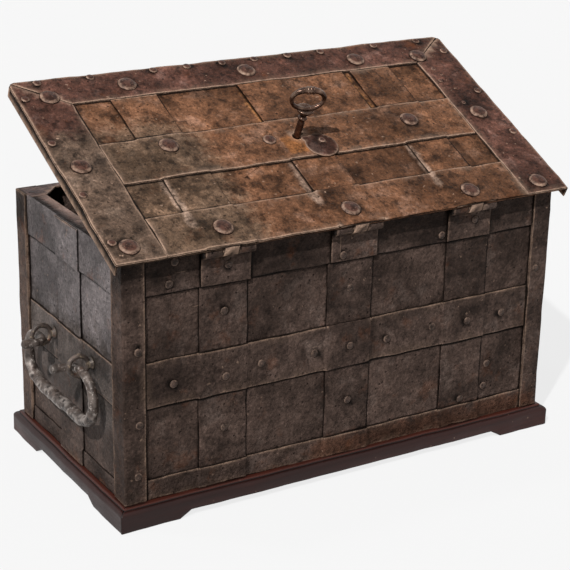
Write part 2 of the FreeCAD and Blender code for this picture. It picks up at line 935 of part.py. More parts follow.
def lid_rivets():
    """Large domes on the lid's straps and borders, small ones along its edges."""
    across_spans = {"left": span_of(-lid_half, border_left), "right": span_of(border_right, lid_half)}
    for number, spot in enumerate(hinge_places):
        across_spans[f"strap_{number}"] = (spot, d.lid_strap_width / 2)
    along_spans = {
        "front": span_of(border_front, lid_front),
        "middle": span_of(band_low, band_high),
        "rear": span_of(lid_near, d.hinge_out + d.lid_rear_band),
    }
    levels = {"strip": strip_top, "step": step_top}
    # Places as shares of half the stretch across and of half the stretch along
    dome_shares = [
        ("strip", "left", 0.27, "front", -0.37), ("strip", "strap_0", 0.07, "front", -0.06),
        ("strip", "strap_1", -0.13, "front", -0.06), ("strip", "strap_2", -0.27, "front", -0.18),
        ("strip", "right", -0.72, "front", -0.49), ("strip", "right", -0.125, "middle", 0.02),
        ("strip", "right", -0.09, "rear", -0.38), ("strip", "left", -0.14, "middle", 0.07),
        ("strip", "left", -0.17, "rear", -0.25), ("step", "strap_0", 0.07, "middle", 0.45),
        ("step", "strap_2", -0.10, "middle", 0.10), ("step", "strap_0", 0.07, "rear", -0.10),
        ("step", "strap_1", -0.07, "rear", -0.22), ("step", "strap_2", 0.07, "rear", -0.31),
    ]
    small_shares = [("strip", "strap_1", -1.33, "middle", 0.10)]
    nail_shares = [
        ("strip", "right", -0.50, "front", -1.66), ("strip", "right", -0.625, "middle", 1.96),
        ("strip", "right", -0.41, "middle", 0.64),
    ]
    # Places as shares of the length, along the front edge, and of the depth, along both ends
    front_edge_shares = (-0.463, -0.347, -0.205, -0.126, -0.043, 0.035, 0.118, 0.202, 0.342, 0.457)
    right_edge_shares = (0.930, 0.637, 0.347)
    left_edge_shares = (0.933, 0.657, 0.350, 0.080)

    def heads(shares, radius, rise):
        found = []
        for layer, stretch, across, reach, along in shares:
            ahead = at_share(along_spans[reach], along)
            spot = (at_share(across_spans[stretch], across), ahead, levels[layer])
            found.append(dome(radius, rise, spot, "up"))
        return found

    large = heads(dome_shares, d.dome, d.dome_rise) + heads(small_shares, d.small_dome, d.small_dome_rise)
    place_on_lid(group("lid_dome_rivets", large))
    edge_spots = [(d.length * share, lid_front - d.edge_rivet_inset) for share in front_edge_shares]
    for sign, shares in ((1, right_edge_shares), (-1, left_edge_shares)):
        edge = sign * (lid_half - d.end_rivet_inset)
        edge_spots += [(edge, d.hinge_out + d.depth * share) for share in shares]
    small = [dome(d.edge_dome, d.edge_dome_rise, (*spot, strip_top), "up") for spot in edge_spots]
    small += heads(nail_shares, d.nail, d.nail_rise)
    place_on_lid(group("lid_edge_rivets", small))


# End handles

def handle_eyes(side):
    """Two rings on flared feet, seated on the middle band of an end."""
    sign = -1 if side == "left" else 1
    seat = half_length - d.iron + d.strap
    centre_x = half_length + d.eye_out
    eyes = []
    for step in (-1, 1):
        centre_y = step * d.eye_pitch / 2 - d.handle_back
        ring = doc.addObject("Part::Torus", "Ring")
        tie(ring, "Radius1", d.eye_ring)
        tie(ring, "Radius2", d.eye_wire)
        ring.Placement = FreeCAD.Placement(Vector(), FreeCAD.Rotation(Vector(1, 0, 0), 90))
        place(ring, sign * centre_x, centre_y, d.eye_height)
        foot = doc.addObject("Part::Cone", "Foot")
        tie(foot, "Radius1", d.eye_foot)
        tie(foot, "Radius2", d.eye_neck)
        tie(foot, "Height", centre_x - d.eye_ring - seat)
        foot.Placement = FreeCAD.Placement(Vector(), FreeCAD.Rotation(Vector(0, 1, 0), sign * 90))
        place(foot, sign * seat, centre_y, d.eye_height)
        eyes.append(fuse([ring, foot]))
    group(f"{side}_handle_eyes", eyes)


def bent_rod(corners, radii, section):
    """A round rod along straight runs joined by tangent arcs."""
    edges = []
    last = corners[0]
    for number in range(1, len(corners) - 1):
        corner = corners[number]
        before = (corners[number - 1] - corner).normalize()
        after = (corners[number + 1] - corner).normalize()
        half_angle = before.getAngle(after) / 2
        reach = radii[number - 1] / math.tan(half_angle)
        start = corner + before * reach
        end = corner + after * reach
        middle_way = (before + after).normalize()
        centre = corner + middle_way * (radii[number - 1] / math.sin(half_angle))
        middle = centre - middle_way * radii[number - 1]
        if (start - last).Length > section / 100:
            edges.append(Part.LineSegment(last, start).toShape())
        edges.append(Part.Arc(start, middle, end).toShape())
        last = end
    edges.append(Part.LineSegment(last, corners[-1]).toShape())
    spine = Part.Wire(edges)
    direction = corners[1] - corners[0]
    circle = Part.Wire(Part.Circle(corners[0], direction, section).toShape())
    return spine.makePipeShell([circle], True, True)


def handle(side):
    """A drop handle: a bent rod with flared tips, and a thicker grip."""
    sign = -1 if side == "left" else 1
    half = d.handle_half.value
    fall = d.handle_fall.value
    inner = (d.eye_pitch / 2 - d.handle_tip_in).value
    tip = d.handle_tip.value
    corners = [
        Vector(sign * tip, -inner, 0),
        Vector(0, -inner, 0),
        Vector(0, -half, 0),
        Vector(0, -half, -fall),
        Vector(0, half, -fall),
        Vector(0, half, 0),
        Vector(0, inner, 0),
        Vector(sign * tip, inner, 0),
    ]
    bend = [d.tip_bend.value, d.handle_shoulder.value, d.handle_corner.value]
    rod = bent_rod(corners, bend + bend[::-1], d.rod.value)
    grip_half = d.grip_half.value
    grip_start = Vector(0, -grip_half, -fall)
    grip = Part.makeCylinder(d.grip.value, 2 * grip_half, grip_start, Vector(0, 1, 0))
    shape = rod.fuse(grip)
    for end in (-inner, inner):
        start = Vector(sign * (tip - bend[0]), end, 0)
        way = Vector(sign, 0, 0)
        flare = Part.makeCone(d.rod.value, d.tip_flare.value, bend[0], start, way)
        shape = shape.fuse(flare)
    item = doc.addObject("Part::Feature", "Handle")
    item.Shape = shape.removeSplitter()
    item.Placement = FreeCAD.Placement(Vector(), FreeCAD.Rotation())
    place(item, sign * (half_length + d.eye_out), -d.handle_back, d.eye_height - d.rod_drop)
    keep(item, f"{side}_handle")


# Key and its cover, measured from the key axis at the underside of the lid sheet

def key():
    """A hollow key with a warded bit, a cup neck and an oval bow."""
    shank = new_body("KeyShank")
    foot = -d.key_end
    bow_low = d.cup_high
    revolve(shank, [
        (d.key_bore, foot),
        (d.key_shank, foot),
        (d.key_shank, d.collar_low),
        (d.collar, d.collar_low),
        (d.collar, d.collar_high),
        (d.key_shank, d.collar_high),
        (d.cup, bow_low),
        (d.key_shank, bow_low + d.bow_rod),
        (as_size(0), bow_low + d.bow_rod),
        (as_size(0), -d.cup_low),
        (d.key_bore, -d.cup_low),
    ])
    bit_low = -d.bit_top - d.bit_length
    bit_root = (d.key_bore + d.key_shank) / 2
    bit = rectangle((bit_root, d.bit_reach), (bit_low, -d.bit_top))
    pad(shank, "XZ", [bit], -d.bit / 2, d.bit / 2)
    middle = -d.bit_top - d.bit_length / 2
    ward_span = (d.key_shank + d.ward, d.bit_reach + d.overrun)
    ward = rectangle(ward_span, (middle - d.ward / 2, middle + d.ward / 2))
    pocket(shank, "XZ", [ward], -d.bit, d.bit)
    spine = doc.addObject("Part::Ellipse", "BowLine")
    tie(spine, "MajorRadius", d.bow_across - d.bow_rod)
    tie(spine, "MinorRadius", d.bow_up - d.bow_rod)
    spine.Placement = FreeCAD.Placement(Vector(), FreeCAD.Rotation(Vector(1, 0, 0), 90))
    bow_centre = bow_low + d.bow_up
    place(spine, 0, 0, bow_centre)
    section = doc.addObject("Part::Circle", "BowSection")
    tie(section, "Radius", d.bow_rod)
    place(section, d.bow_across - d.bow_rod, 0, bow_centre)
    bow = doc.addObject("Part::Sweep", "Bow")
    bow.Sections = [section]
    bow.Spine = (spine, ["Edge1"])
    bow.Solid = True
    bow.Frenet = True
    reeds = []
    for step in (-1, 0, 1):
        centre = step * d.reed_gap
        top = bow_low + 2 * d.bow_up - d.bow_rod - abs(step) * d.reed_drop
        half = d.reed_length / 2
        reeds.append(rod_along("X", d.reed, centre - half, centre + half, (0, top)))
    whole = fuse([shank, bow] + reeds)
    spin = FreeCAD.Rotation(Vector(0, 0, -1), d.key_turned.value)
    whole.Placement = FreeCAD.Placement(Vector(), spin)
    tie(whole, "Placement.Rotation.Angle", d.key_turned)
    place_under_lid(group("key", [whole]))


def keyhole_cover():
    """A pear-shaped plate that swings on a rivet, here turned away from the key."""
    low = step_top - sheet_above_axis + d.cover_play
    body = new_body("Cover")
    disc = (d.cover_disc_x, -d.cover_disc_y)
    tip = (d.cover_tip_x, -d.cover_tip_y)
    pad(body, "XY", [(disc, d.cover_disc)], low, low + d.cover)
    reach_x = d.cover_disc_x - d.cover_tip_x
    reach_y = d.cover_tip_y - d.cover_disc_y
    reach = root(reach_x * reach_x + reach_y * reach_y)
    across = (-reach_y / reach, reach_x / reach)
    neck = [
        (tip[0] + across[0] * d.cover_tip, tip[1] + across[1] * d.cover_tip),
        (disc[0] + across[0] * d.cover_disc, disc[1] + across[1] * d.cover_disc),
        (disc[0] - across[0] * d.cover_disc, disc[1] - across[1] * d.cover_disc),
        (tip[0] - across[0] * d.cover_tip, tip[1] - across[1] * d.cover_tip),
    ]
    pad(body, "XY", [neck], low, low + d.cover)
    pad(body, "XY", [(tip, d.cover_tip)], low, low + d.cover)
    pivot = (d.cover_pivot_x, -d.cover_pivot_y)
    bore = d.cover_rivet + d.pin_play
    pocket(body, "XY", [(pivot, bore)], low - d.overrun, low + d.cover + d.overrun)
    keep(place_under_lid(body), "keyhole_cover")


def keyhole_cover_rivet():
    seat = step_top - sheet_above_axis
    head = seat + 2 * d.cover_play + d.cover
    spot = (d.cover_pivot_x, -d.cover_pivot_y)
    shank = rod_along("Z", d.cover_rivet, seat, head, spot)
    cap = dome(d.cover_rivet_head, d.cover_rivet_rise, (*spot, head), "up")
    keep(place_under_lid(fuse([shank, cap])), "keyhole_cover_rivet")


# Lock under the lid, measured from the key axis at the underside of the lid sheet

base_low = -d.base
bolt_high = base_low - d.bolt_lift
bolt_low = bolt_high - d.bolt
bar_high = bolt_low - d.layer_play
bar_low = bar_high - d.bolt
lever_high = bar_low - d.layer_play
lever_low = lever_high - d.lever
bridge_high = lever_low - d.bridge_play
bridge_low = bridge_high - d.bridge
half_turn = d.turn / 2
pin_circle = d.throw / 2 / sine(half_turn)
drive_line = pin_circle * (1 + cosine(half_turn)) / 2
lever_swing = arc_sine(d.throw / 2 / d.lever_arm)
lever_line = d.lever_arm * (1 + cosine(lever_swing)) / 2
lever_x = half_length - d.lever_inset
right_pivot = (lever_x, lever_line - drive_line)
left_pivot = (-lever_x, lever_line + drive_line)
side_bolt_x = lever_x + lever_line
base_half_x = half_length - d.base_inset
base_half_y = half_depth - d.base_inset
end_bolt_reach = half_length - d.rim_end_width - d.end_bolt_gap
front_bolt_reach = half_depth - d.rim_long_width - d.front_bolt_gap
guide_outer_x = half_length - d.guide_end_inset
guide_outer_y = half_depth - d.guide_front_inset


def lock_base_plate():
    """The plate under the lid, with the journal hole and the two lever posts."""
    body = new_body("BasePlate")
    outline = rectangle((-base_half_x, base_half_x), (-base_half_y, base_half_y))
    journal = ((0, 0), d.hub_boss + d.hub_play)
    pad(body, "XY", [outline, journal], base_low, 0)
    for pivot in (right_pivot, left_pivot):
        pad(body, "XY", [(pivot, d.lever_post)], lever_low - d.layer_play, base_low)
        pad(body, "XY", [(pivot, d.post_head)], lever_low - 2 * d.layer_play, lever_low - d.hub_play)
    keep(place_under_lid(body), "lock_base_plate")


def lock_hub():
    """The turning hub: a boss with the keyhole, and three arms with the drive pins."""
    body = new_body("Hub")
    pad(body, "XY", [((0, 0), d.hub_boss)], lever_low, -d.hub_play)
    pad(body, "XY", [((0, 0), d.hub_centre)], lever_low, lever_high)
    half = d.lever_width / 2
    for angle, pin_high in ((-RIGHT_ANGLE, bar_high), (RIGHT_ANGLE, bar_high), (0, bolt_high)):
        rest = as_size(angle) - half_turn
        arm = [turned(corner, rest) for corner in rectangle((0, pin_circle), (-half, half))]
        pin = turned((pin_circle, 0), rest)
        pad(body, "XY", [arm], lever_low, lever_high)
        pad(body, "XY", [(pin, half)], lever_low, lever_high)
        pad(body, "XY", [(pin, d.drive_pin)], lever_low, pin_high - d.hub_play)
    rest = -d.key_turned
    slot_half = d.bit / 2 + d.hub_play
    reach = d.bit_reach + d.slot_play
    pocket(body, "XY", [((0, 0), d.key_shank + d.hub_play / 2)], lever_low - d.overrun, d.overrun)
    slot = [turned(corner, rest) for corner in rectangle((0, reach), (-slot_half, slot_half))]
    pocket(body, "XY", [slot], lever_low - d.overrun, d.overrun)
    keep(place_under_lid(body), "lock_hub")


def hub_bridge():
    """A strip across the hub on two posts, with the pin that the hollow key fits over."""
    body = new_body("Bridge")
    end = d.bridge_half * math.sqrt(2)
    half = d.bridge_width / 2
    slant = as_size(45)
    strip = [turned(corner, slant) for corner in rectangle((-end - half, end + half), (-half, half))]
    pad(body, "XY", [strip], bridge_low, bridge_high)
    for sign in (-1, 1):
        spot = (sign * d.bridge_half, sign * d.bridge_half)
        pad(body, "XY", [(spot, d.bridge_post)], bridge_high, base_low)
    pin = d.key_bore - d.hub_play
    pad(body, "XY", [((0, 0), pin)], bridge_high, -d.cup_low - d.layer_play)
    keep(place_under_lid(body), "hub_bridge")


def drawbar(side):
    """A drawbar with the hub's slot at its tail, a lever slot, and a crosshead with two bolts."""
    sign = -1 if side == "left" else 1
    half = d.bar_width / 2
    play = d.drive_pin + d.slot_play
    rest = -d.throw / 2
    tail = rest - play - d.tail
    head = end_bolt_reach - d.prong
    shoulder = head - d.head

    def on_side(corners):
        return [(sign * across, sign * (up - drive_line)) for across, up in corners]

    outline = [
        (tail, -half),
        (shoulder, -half),
        (shoulder, -d.head_half),
        (head, -d.head_half),
        (head, d.head_half),
        (shoulder, d.head_half),
        (shoulder, half),
        (tail, half),
    ]
    slot = rectangle((rest - play, rest + play), (-d.slot_length / 2, d.slot_length / 2))
    body = new_body("Drawbar")
    pad(body, "XY", [on_side(outline), on_side(slot)], bar_low, bar_high)
    for step in (-1, 1):
        outer = step * d.head_half
        inner = step * (d.head_half - d.bar_width)
        prong = rectangle((shoulder, end_bolt_reach), (inner, outer))
        pad(body, "XY", [on_side(prong)], bar_low, bolt_high)
    pin_x = lever_x - d.throw / 2
    pin = (sign * pin_x, -sign * drive_line)
    pad(body, "XY", [(pin, d.drive_pin)], lever_low, bar_low)
    keep(place_under_lid(body), f"{side}_drawbar")


def front_bolt(label, spot, rest_y, driven_by_hub):
    """A front bolt: a flat bar whose tail has the hub's slot, or a pin for a lever."""
    half = d.bar_width / 2
    play = d.drive_pin + d.slot_play
    tail = rest_y - play - d.tail
    outline = rectangle((spot - half, spot + half), (tail, front_bolt_reach))
    body = new_body("Bolt")
    if driven_by_hub:
        length = d.slot_length / 2
        slot = rectangle((spot - length, spot + length), (rest_y - play, rest_y + play))
        pad(body, "XY", [outline, slot], bolt_low, bolt_high)
    else:
        pad(body, "XY", [outline], bolt_low, bolt_high)
        pad(body, "XY", [((spot, rest_y), d.drive_pin)], lever_low, bolt_low)
    round_edges(body, d.bar_width / 4, lambda edge: is_along(edge, Vector(0, 0, 1))
                and edge.CenterOfMass.y > guide_outer_y.value)
    keep(place_under_lid(body), label)


def bell_lever(side):
    """A bell crank with one slotted arm on the drawbar and one on the front bolt."""
    sign = -1 if side == "left" else 1
    pivot = left_pivot if side == "left" else right_pivot
    rest = -lever_swing
    half = d.lever_width / 2
    play = d.drive_pin + d.slot_play
    end = d.lever_arm + d.drive_pin + d.tail
    slot_low = d.lever_arm - d.slot_length / 2
    slot_high = d.lever_arm + d.slot_length / 2

    def on_side(corners, angle):
        """Corners on an arm, turned to its rest angle, mirrored for the left lever."""
        found = []
        for corner in corners:
            across, along = turned(corner, angle)
            found.append((sign * across + pivot[0], along + pivot[1]))
        return found

    body = new_body("Lever")
    pad(body, "XY", [(pivot, d.lever_eye)], lever_low, lever_high)
    for angle in (rest, rest - RIGHT_ANGLE):
        wide = rectangle((0, end + half / 2), (-half, half))
        pad(body, "XY", [on_side(wide, angle)], lever_low, lever_high)
    for angle in (rest, rest - RIGHT_ANGLE):
        slot = rectangle((slot_low, slot_high), (-play, play))
        pocket(body, "XY", [on_side(slot, angle)], lever_low - d.overrun, lever_high + d.overrun)
    bore = d.lever_post + d.hub_play
    pocket(body, "XY", [(pivot, bore)], lever_low - d.overrun, lever_high + d.overrun)
    keep(place_under_lid(body), f"{side}_lever")


def guide(across, along, low, high):
    """A closed staple from the base plate round a bar."""
    window_low = low - d.guide_play
    window_high = high + d.guide_play
    if isinstance(across, tuple):
        half = d.bar_width / 2 + d.guide_play
        spot = across[0]
        outer = box((spot - d.guide_length / 2, spot + d.guide_length / 2),
                    (along - half - d.guide_wall, along + half + d.guide_wall),
                    (window_low - d.base, base_low))
        inner = box((spot - d.guide_length, spot + d.guide_length),
                    (along - half, along + half),
                    (window_low, window_high))
    else:
        half = d.bar_width / 2 + d.guide_play
        spot = along[0]
        outer = box((across - half - d.guide_wall, across + half + d.guide_wall),
                    (spot - d.guide_length / 2, spot + d.guide_length / 2),
                    (window_low - d.base, base_low))
        inner = box((across - half, across + half),
                    (spot - d.guide_length, spot + d.guide_length),
                    (window_low, window_high))
    return cut(outer, inner)


def bolt_guides():
    """Two guides on every drawbar and bolt."""
    guides = []
    for sign in (-1, 1):
        for spot in (lever_x - d.guide_to_lever, guide_outer_x):
            guides.append(guide((sign * spot,), -sign * drive_line, bar_low, bar_high))
    for across in (drive_line, side_bolt_x, -side_bolt_x):
        for spot in (guide_outer_y - d.guide_spread, guide_outer_y):
            guides.append(guide(across, (spot,), bolt_low, bolt_high))
    place_under_lid(group("bolt_guides", guides))


def bow_spring(centre, start_angle, sweep, low, foot):
    """A curved leaf spring that leans against a bar, with its foot on the base plate."""
    outer = doc.addObject("Part::Cylinder", "SpringOuter")
    inner = doc.addObject("Part::Cylinder", "SpringInner")
    for item, radius in ((outer, d.spring_radius), (inner, d.spring_radius - d.spring)):
        tie(item, "Radius", radius)
        tie(item, "Height", d.spring_height)
        tie(item, "Angle", sweep)
        item.Placement = FreeCAD.Placement(Vector(), FreeCAD.Rotation(Vector(0, 0, 1), start_angle))
        place(item, *centre, low)
    strip = cut(outer, inner)
    anchor = box(*foot, (low, base_low))
    return fuse([strip, anchor])


def bolt_springs():
    """Leaf springs that lean on the drawbars and the centre bolt, so that they stay where they are."""
    springs = []
    reach = d.bar_width / 2 + d.spring_play
    swing = arc_sine(d.spring_half / d.spring_radius)
    for sign in (-1, 1):
        belly = -sign * (drive_line + reach)
        spot_x = sign * (guide_outer_x - d.spring_to_guide)
        centre = (spot_x, belly - sign * d.spring_radius)
        start = sign * RIGHT_ANGLE - swing.value
        tip_x = spot_x + sign * d.spring_half
        tip_y = centre[1] + sign * d.spring_radius * cosine(swing)
        foot = (
            (tip_x - d.spring_foot / 2, tip_x + d.spring_foot / 2),
            (tip_y - d.spring_foot / 2, tip_y + d.spring_foot / 2),
        )
        springs.append(bow_spring(centre, start, 2 * swing, bar_low, foot))
    place_under_lid(group("bolt_springs", springs))


# Build order: plinth, body, hinges, handles, lid, lock

for side in SIDES:
    plinth_board(side)
for side in SIDES:
    wall(side)
floor_sheet()
for side in ("rear", "front"):
    rim_long(side)
for side in ("left", "right"):
    rim_end(side)
for long_side in ("rear", "front"):
    for end_side in ("left", "right"):
        corner_iron(long_side, end_side)
long_straps("rear", d.height - d.top_band)
long_straps("front", d.height)
long_bands("rear", ())
long_bands("front", strap_places)
for side in ("left", "right"):
    end_bands(side)
group("hinge_leaves", [hinge_leaf(spot) for spot in hinge_places])
group("hinge_pins", [hinge_pin(spot) for spot in hinge_places])
wall_rivets()
for side in ("left", "right"):
    handle_eyes(side)
    handle(side)
lid_sheet()
lid_borders()
lid_band("lid_rear_band", lid_near, d.hinge_out + d.lid_rear_band, False)
lid_band("lid_middle_band", band_low, band_high, True)
lid_strap("lid_strap_left", hinge_places[0], False, False)
lid_strap("lid_strap_centre", hinge_places[1], True, True)
lid_strap("lid_strap_right", hinge_places[2], False, False)
lid_rivets()
key()
keyhole_cover()
keyhole_cover_rivet()
lock_base_plate()
lock_hub()
hub_bridge()
for side in ("left", "right"):
    drawbar(side)
    bell_lever(side)
front_bolt("front_centre_bolt", drive_line, -d.throw / 2, True)
right_rest = right_pivot[1] - d.throw / 2
left_rest = left_pivot[1] - d.throw / 2
front_bolt("front_right_bolt", side_bolt_x, right_rest, False)
front_bolt("front_left_bolt", -side_bolt_x, left_rest, False)
bolt_guides()
bolt_springs()

doc.recompute()

# Nothing is written unless every object is sound and every cut removes material
for item in doc.Objects:
    if "Invalid" in item.State or "Error" in item.State:
        raise RuntimeError(f"{item.Name} ({item.Label}) failed: {item.State}")
    if item.TypeId == "PartDesign::Pocket":
        if item.Shape.Volume >= item.BaseFeature.Shape.Volume:
            raise RuntimeError(f"{item.Name} cuts nothing")
for node in nodes:
    if node.Shape.isNull() or not node.Shape.isValid():
        raise RuntimeError(f"{node.Label} has no valid shape")

os.makedirs("parts", exist_ok=True)
for node in nodes:
    node.Shape.exportStep(f"parts/{node.Label}.step")
print(len(nodes), "sub-parts written")
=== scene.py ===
"""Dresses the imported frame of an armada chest: hammered iron plates, rivets, key, handles and a worn plinth."""

import functools
import json
import math

import bmesh
import bpy
from mathutils import Matrix, Vector, noise
from mathutils.bvhtree import BVHTree
from mathutils.kdtree import KDTree

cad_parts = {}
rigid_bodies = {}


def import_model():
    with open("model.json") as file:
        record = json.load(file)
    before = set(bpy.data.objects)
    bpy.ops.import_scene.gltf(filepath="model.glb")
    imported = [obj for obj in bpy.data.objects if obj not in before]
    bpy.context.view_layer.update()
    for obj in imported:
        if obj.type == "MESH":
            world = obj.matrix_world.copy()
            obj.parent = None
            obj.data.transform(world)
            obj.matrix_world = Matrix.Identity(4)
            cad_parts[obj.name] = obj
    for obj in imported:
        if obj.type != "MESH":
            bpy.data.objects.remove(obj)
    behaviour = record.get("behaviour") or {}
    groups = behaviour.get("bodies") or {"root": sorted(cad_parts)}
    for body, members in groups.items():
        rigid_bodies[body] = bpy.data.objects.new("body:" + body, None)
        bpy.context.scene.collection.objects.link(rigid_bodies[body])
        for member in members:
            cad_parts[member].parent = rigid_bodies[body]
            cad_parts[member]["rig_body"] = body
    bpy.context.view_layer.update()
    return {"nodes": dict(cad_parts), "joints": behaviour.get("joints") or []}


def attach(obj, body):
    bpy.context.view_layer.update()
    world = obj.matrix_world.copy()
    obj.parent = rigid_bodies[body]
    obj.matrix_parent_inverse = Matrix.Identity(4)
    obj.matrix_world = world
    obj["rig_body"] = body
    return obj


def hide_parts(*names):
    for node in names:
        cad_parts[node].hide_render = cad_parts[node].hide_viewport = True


bl_info = {
    "name": "Armada chest",
    "version": (1, 0, 0),
    "blender": (4, 5, 0),
    "location": "3D View > Sidebar > Chest",
    "description": "Dresses the packed frame of an armada chest",
    "category": "Object",
}

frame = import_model()
NODES = frame["nodes"]
JOINTS = {joint["name"]: joint for joint in frame["joints"]}

MILLIMETRE = 0.001

# The lid stands open at rest. Lid pieces are worked with the lid laid shut, and then swung back.
HINGE_PIVOT = Vector(JOINTS["lid_hinge"]["pos_m"])
LID_OPEN = -math.radians(JOINTS["lid_hinge"]["range_deg"][0])
LID_BACK = Matrix.Translation(HINGE_PIVOT) @ Matrix.Rotation(LID_OPEN, 4, "X") @ Matrix.Translation(-HINGE_PIVOT)
LID_SHUT = LID_BACK.inverted()

# Middles of the hinges along the lid, half a knuckle's length, half the dark painted-shade line at a knuckle's end,
# and the height from which that line shows.
HINGE_PLACES = (-0.170, 0.003, 0.171)
KNUCKLE_HALF = 0.0102
KNUCKLE_GAP = 0.0009
KNUCKLE_LOW = 0.314
# Where painted highlights run as pale streaks along the straps' left edges, across the lid's near half
HIGHLIGHT_STREAK_PLACES = (-0.2, -0.031, 0.1405)

# The smith's work is held back to this share where pieces pass close by each other: under the lid, counted
# from the hinge's axis, up the chest from where the shut lid meets it, and round the keyhole.
HELD_BACK = 0.05
LID_UNDERSIDE = 0.0071
MEETING_START = 0.297
MEETING_FADE = 0.012
KEYHOLE_REACH = 0.018

# Tolerances and limits of the work on the meshes
MERGE_DISTANCE = 0.000002
ROUND_MERGE = 0.000003
ROD_MERGE = 0.000005
FLAT_ANGLE = math.radians(1.5)
SHARP_ANGLE = math.radians(35)
SHADED_ANGLE = math.radians(50)
CUTS_BESIDE_SEAM = (-0.0032, -0.0011, 0.0011, 0.0032)
FINEST_CUT = 0.0009
RIDGE_STEP = 0.002
COARSE_STEP = 0.03

# Rays that feel for pieces next to a point, for its painted shade: how far they start from its face, and their
# slant over it. A face is covered where a ray straight out of it meets a piece within the cover's reach.
RAY_COUNT = 8
RAY_START = 0.0003
RAY_ALONG = 0.94
RAY_OUT = 0.34
COVER_START = 0.0001
COVER_REACH = 0.004

# Hammer marks: pitch of the small ones beside the large, and the height of each. Then the distances over which
# cut edges stray, and the share of the finer straying.
SMALL_MARKS = 0.36
LARGE_HEIGHT = 0.8
SMALL_HEIGHT = 0.4
STRAY_PITCH = 0.045
FINE_STRAY_PITCH = 0.013
FINE_STRAY = 0.45

# Worn edges with painted highlight: least and most of it, and how much wider than the line its painted pale halo is
LEAST_WORN_AND_LIT = 0.15
MOST_WORN_AND_LIT = 1.2
HALO_WIDTH = 3.5


def linear(value):
    """One channel of a written colour, as a linear light level."""
    return value / 12.92 if value <= 0.04045 else ((value + 0.055) / 1.055) ** 2.4


def colour(written):
    """A linear colour from six hexadecimal digits."""
    return tuple(linear(int(written[i:i + 2], 16) / 255) for i in (0, 2, 4))


# Linear colours of patches and highlights
GREY_PATINA = (0.12, 0.105, 0.095)
END_SHEEN_GREY = (0.135, 0.118, 0.118)
OLIVE_DUST = (0.115, 0.088, 0.062)
KEYHOLE_RUST = (0.25, 0.10, 0.035)
PLATE_RUST = colour("9c6c44")
HIGHLIGHT_STREAK_TAN = colour("b59a88")
HANDLE_SHEEN = (0.46, 0.40, 0.36)
EYE_SHEEN = (0.33, 0.25, 0.17)
WHITE = (1.0, 1.0, 1.0)


def length_property(name, description, default, lowest=0.0):
    """A size in metres that a user can change."""
    return bpy.props.FloatProperty(name=name, description=description, default=default, min=lowest,
                                   subtype="DISTANCE", unit="LENGTH", precision=5)


def colour_property(name, description, written):
    """A colour that a user can change."""
    return bpy.props.FloatVectorProperty(name=name, description=description, default=colour(written),
                                         size=3, min=0.0, max=1.0, subtype="COLOR")


class ChestSizes(bpy.types.PropertyGroup):
    """Sizes of the smith's work on the plates."""

    edge_round: length_property("Edge round", "Width of the worn bevel on the plates' edges", 0.0008)
    hammer_depth: length_property("Hammer depth", "How far the hammered faces rise and fall", 0.0007)
    hammer_pitch: length_property("Hammer pitch", "Distance between hammer marks", 0.028, 0.001)
    edge_waver: length_property("Edge waver", "How far the cut edges stray from a straight line", 0.0015)
    # The bright line is wear, with painted highlight on the sides that face the key light
    wear_and_highlight_width: length_property("Wear width", "Width of the bright worn line along an edge", 0.0011, 0.0001)
    # How far the painted shade spreads beside and under plates
    shade_width: length_property("Seam width", "How far dirt spreads from a seam between plates", 0.0045, 0.0005)
    mesh_step: length_property("Mesh step", "Distance between the cuts of the worked plates", 0.011, 0.002)


class ChestColours(bpy.types.PropertyGroup):
    """Colours of the chest's finishes."""

    lid_iron: colour_property("Lid iron", "Red-brown patina of the lid", "6a4935")
    lid_border: colour_property("Lid border", "Purple-brown border strips", "553930")
    side_iron: colour_property("Side iron", "Brown-grey iron of the straps and bands", "453832")
    sheet_iron: colour_property("Sheet iron", "Dark sheet between the straps", "453832")
    end_iron: colour_property("End iron", "Grey iron of the two ends", "4f4743")
    # Also the colour of painted highlights: bright edges, their halos, rivet rings and the key's spots
    worn_and_lit_iron: colour_property("Worn iron", "Bright worn edges and rings", "ab8e7a")
    rust: colour_property("Rust", "Orange rust", "7a4422")
    # Dark pits, and also the painted shade in seams, corners, at rivet rims and between knuckles
    dirt_and_shade: colour_property("Dirt", "Dark dirt in the seams", "0e0a08")
    rim_iron: colour_property("Rim iron", "Pinkish grey-brown rim", "6a5753")
    handle_steel: colour_property("Handle steel", "Grey forged steel", "4e433d")
    key_steel: colour_property("Key steel", "Dark bronze-coloured steel", "4e3a30")
    lock_steel: colour_property("Lock steel", "Filed and oiled steel", "7c7a76")
    plinth_wood: colour_property("Plinth wood", "Dark red-brown plinth", "2b120e")
    plinth_worn: colour_property("Plinth worn wood", "Worn red-brown top edge", "6a3426")
    floor: colour_property("Floor", "Pale studio floor", "cccccc")


def sizes():
    """The user's sizes."""
    return bpy.context.scene.chest_sizes


def colours():
    """The user's colours."""
    return bpy.context.scene.chest_colours


# Shaders

class Signal:
    """A socket of a material's nodes, on which arithmetic adds Math nodes."""

    def __init__(self, tree, socket):
        self.tree = tree
        self.socket = socket

    def maths(self, operation, first, second):
        """A Math node on two values."""
        return node(self.tree, "Math", {"operation": operation}, {0: first, 1: second})

    def __add__(self, other):
        return self.maths("ADD", self, other)

    def __sub__(self, other):
        return self.maths("SUBTRACT", self, other)

    def __mul__(self, other):
        return self.maths("MULTIPLY", self, other)

    def __rsub__(self, other):
        return self.maths("SUBTRACT", other, self)

    __radd__ = __add__
    __rmul__ = __mul__

    def clamped(self):
        """The value kept between nothing and one."""
        return node(self.tree, "Clamp", {}, {0: self})

    def between(self, low, high):
        """Nothing below low, one above high, and a smooth slope between."""
        return node(self.tree, "MapRange", {"interpolation_type": "SMOOTHSTEP"},
                    {0: self, 1: low, 2: high, 3: 0.0, 4: 1.0})


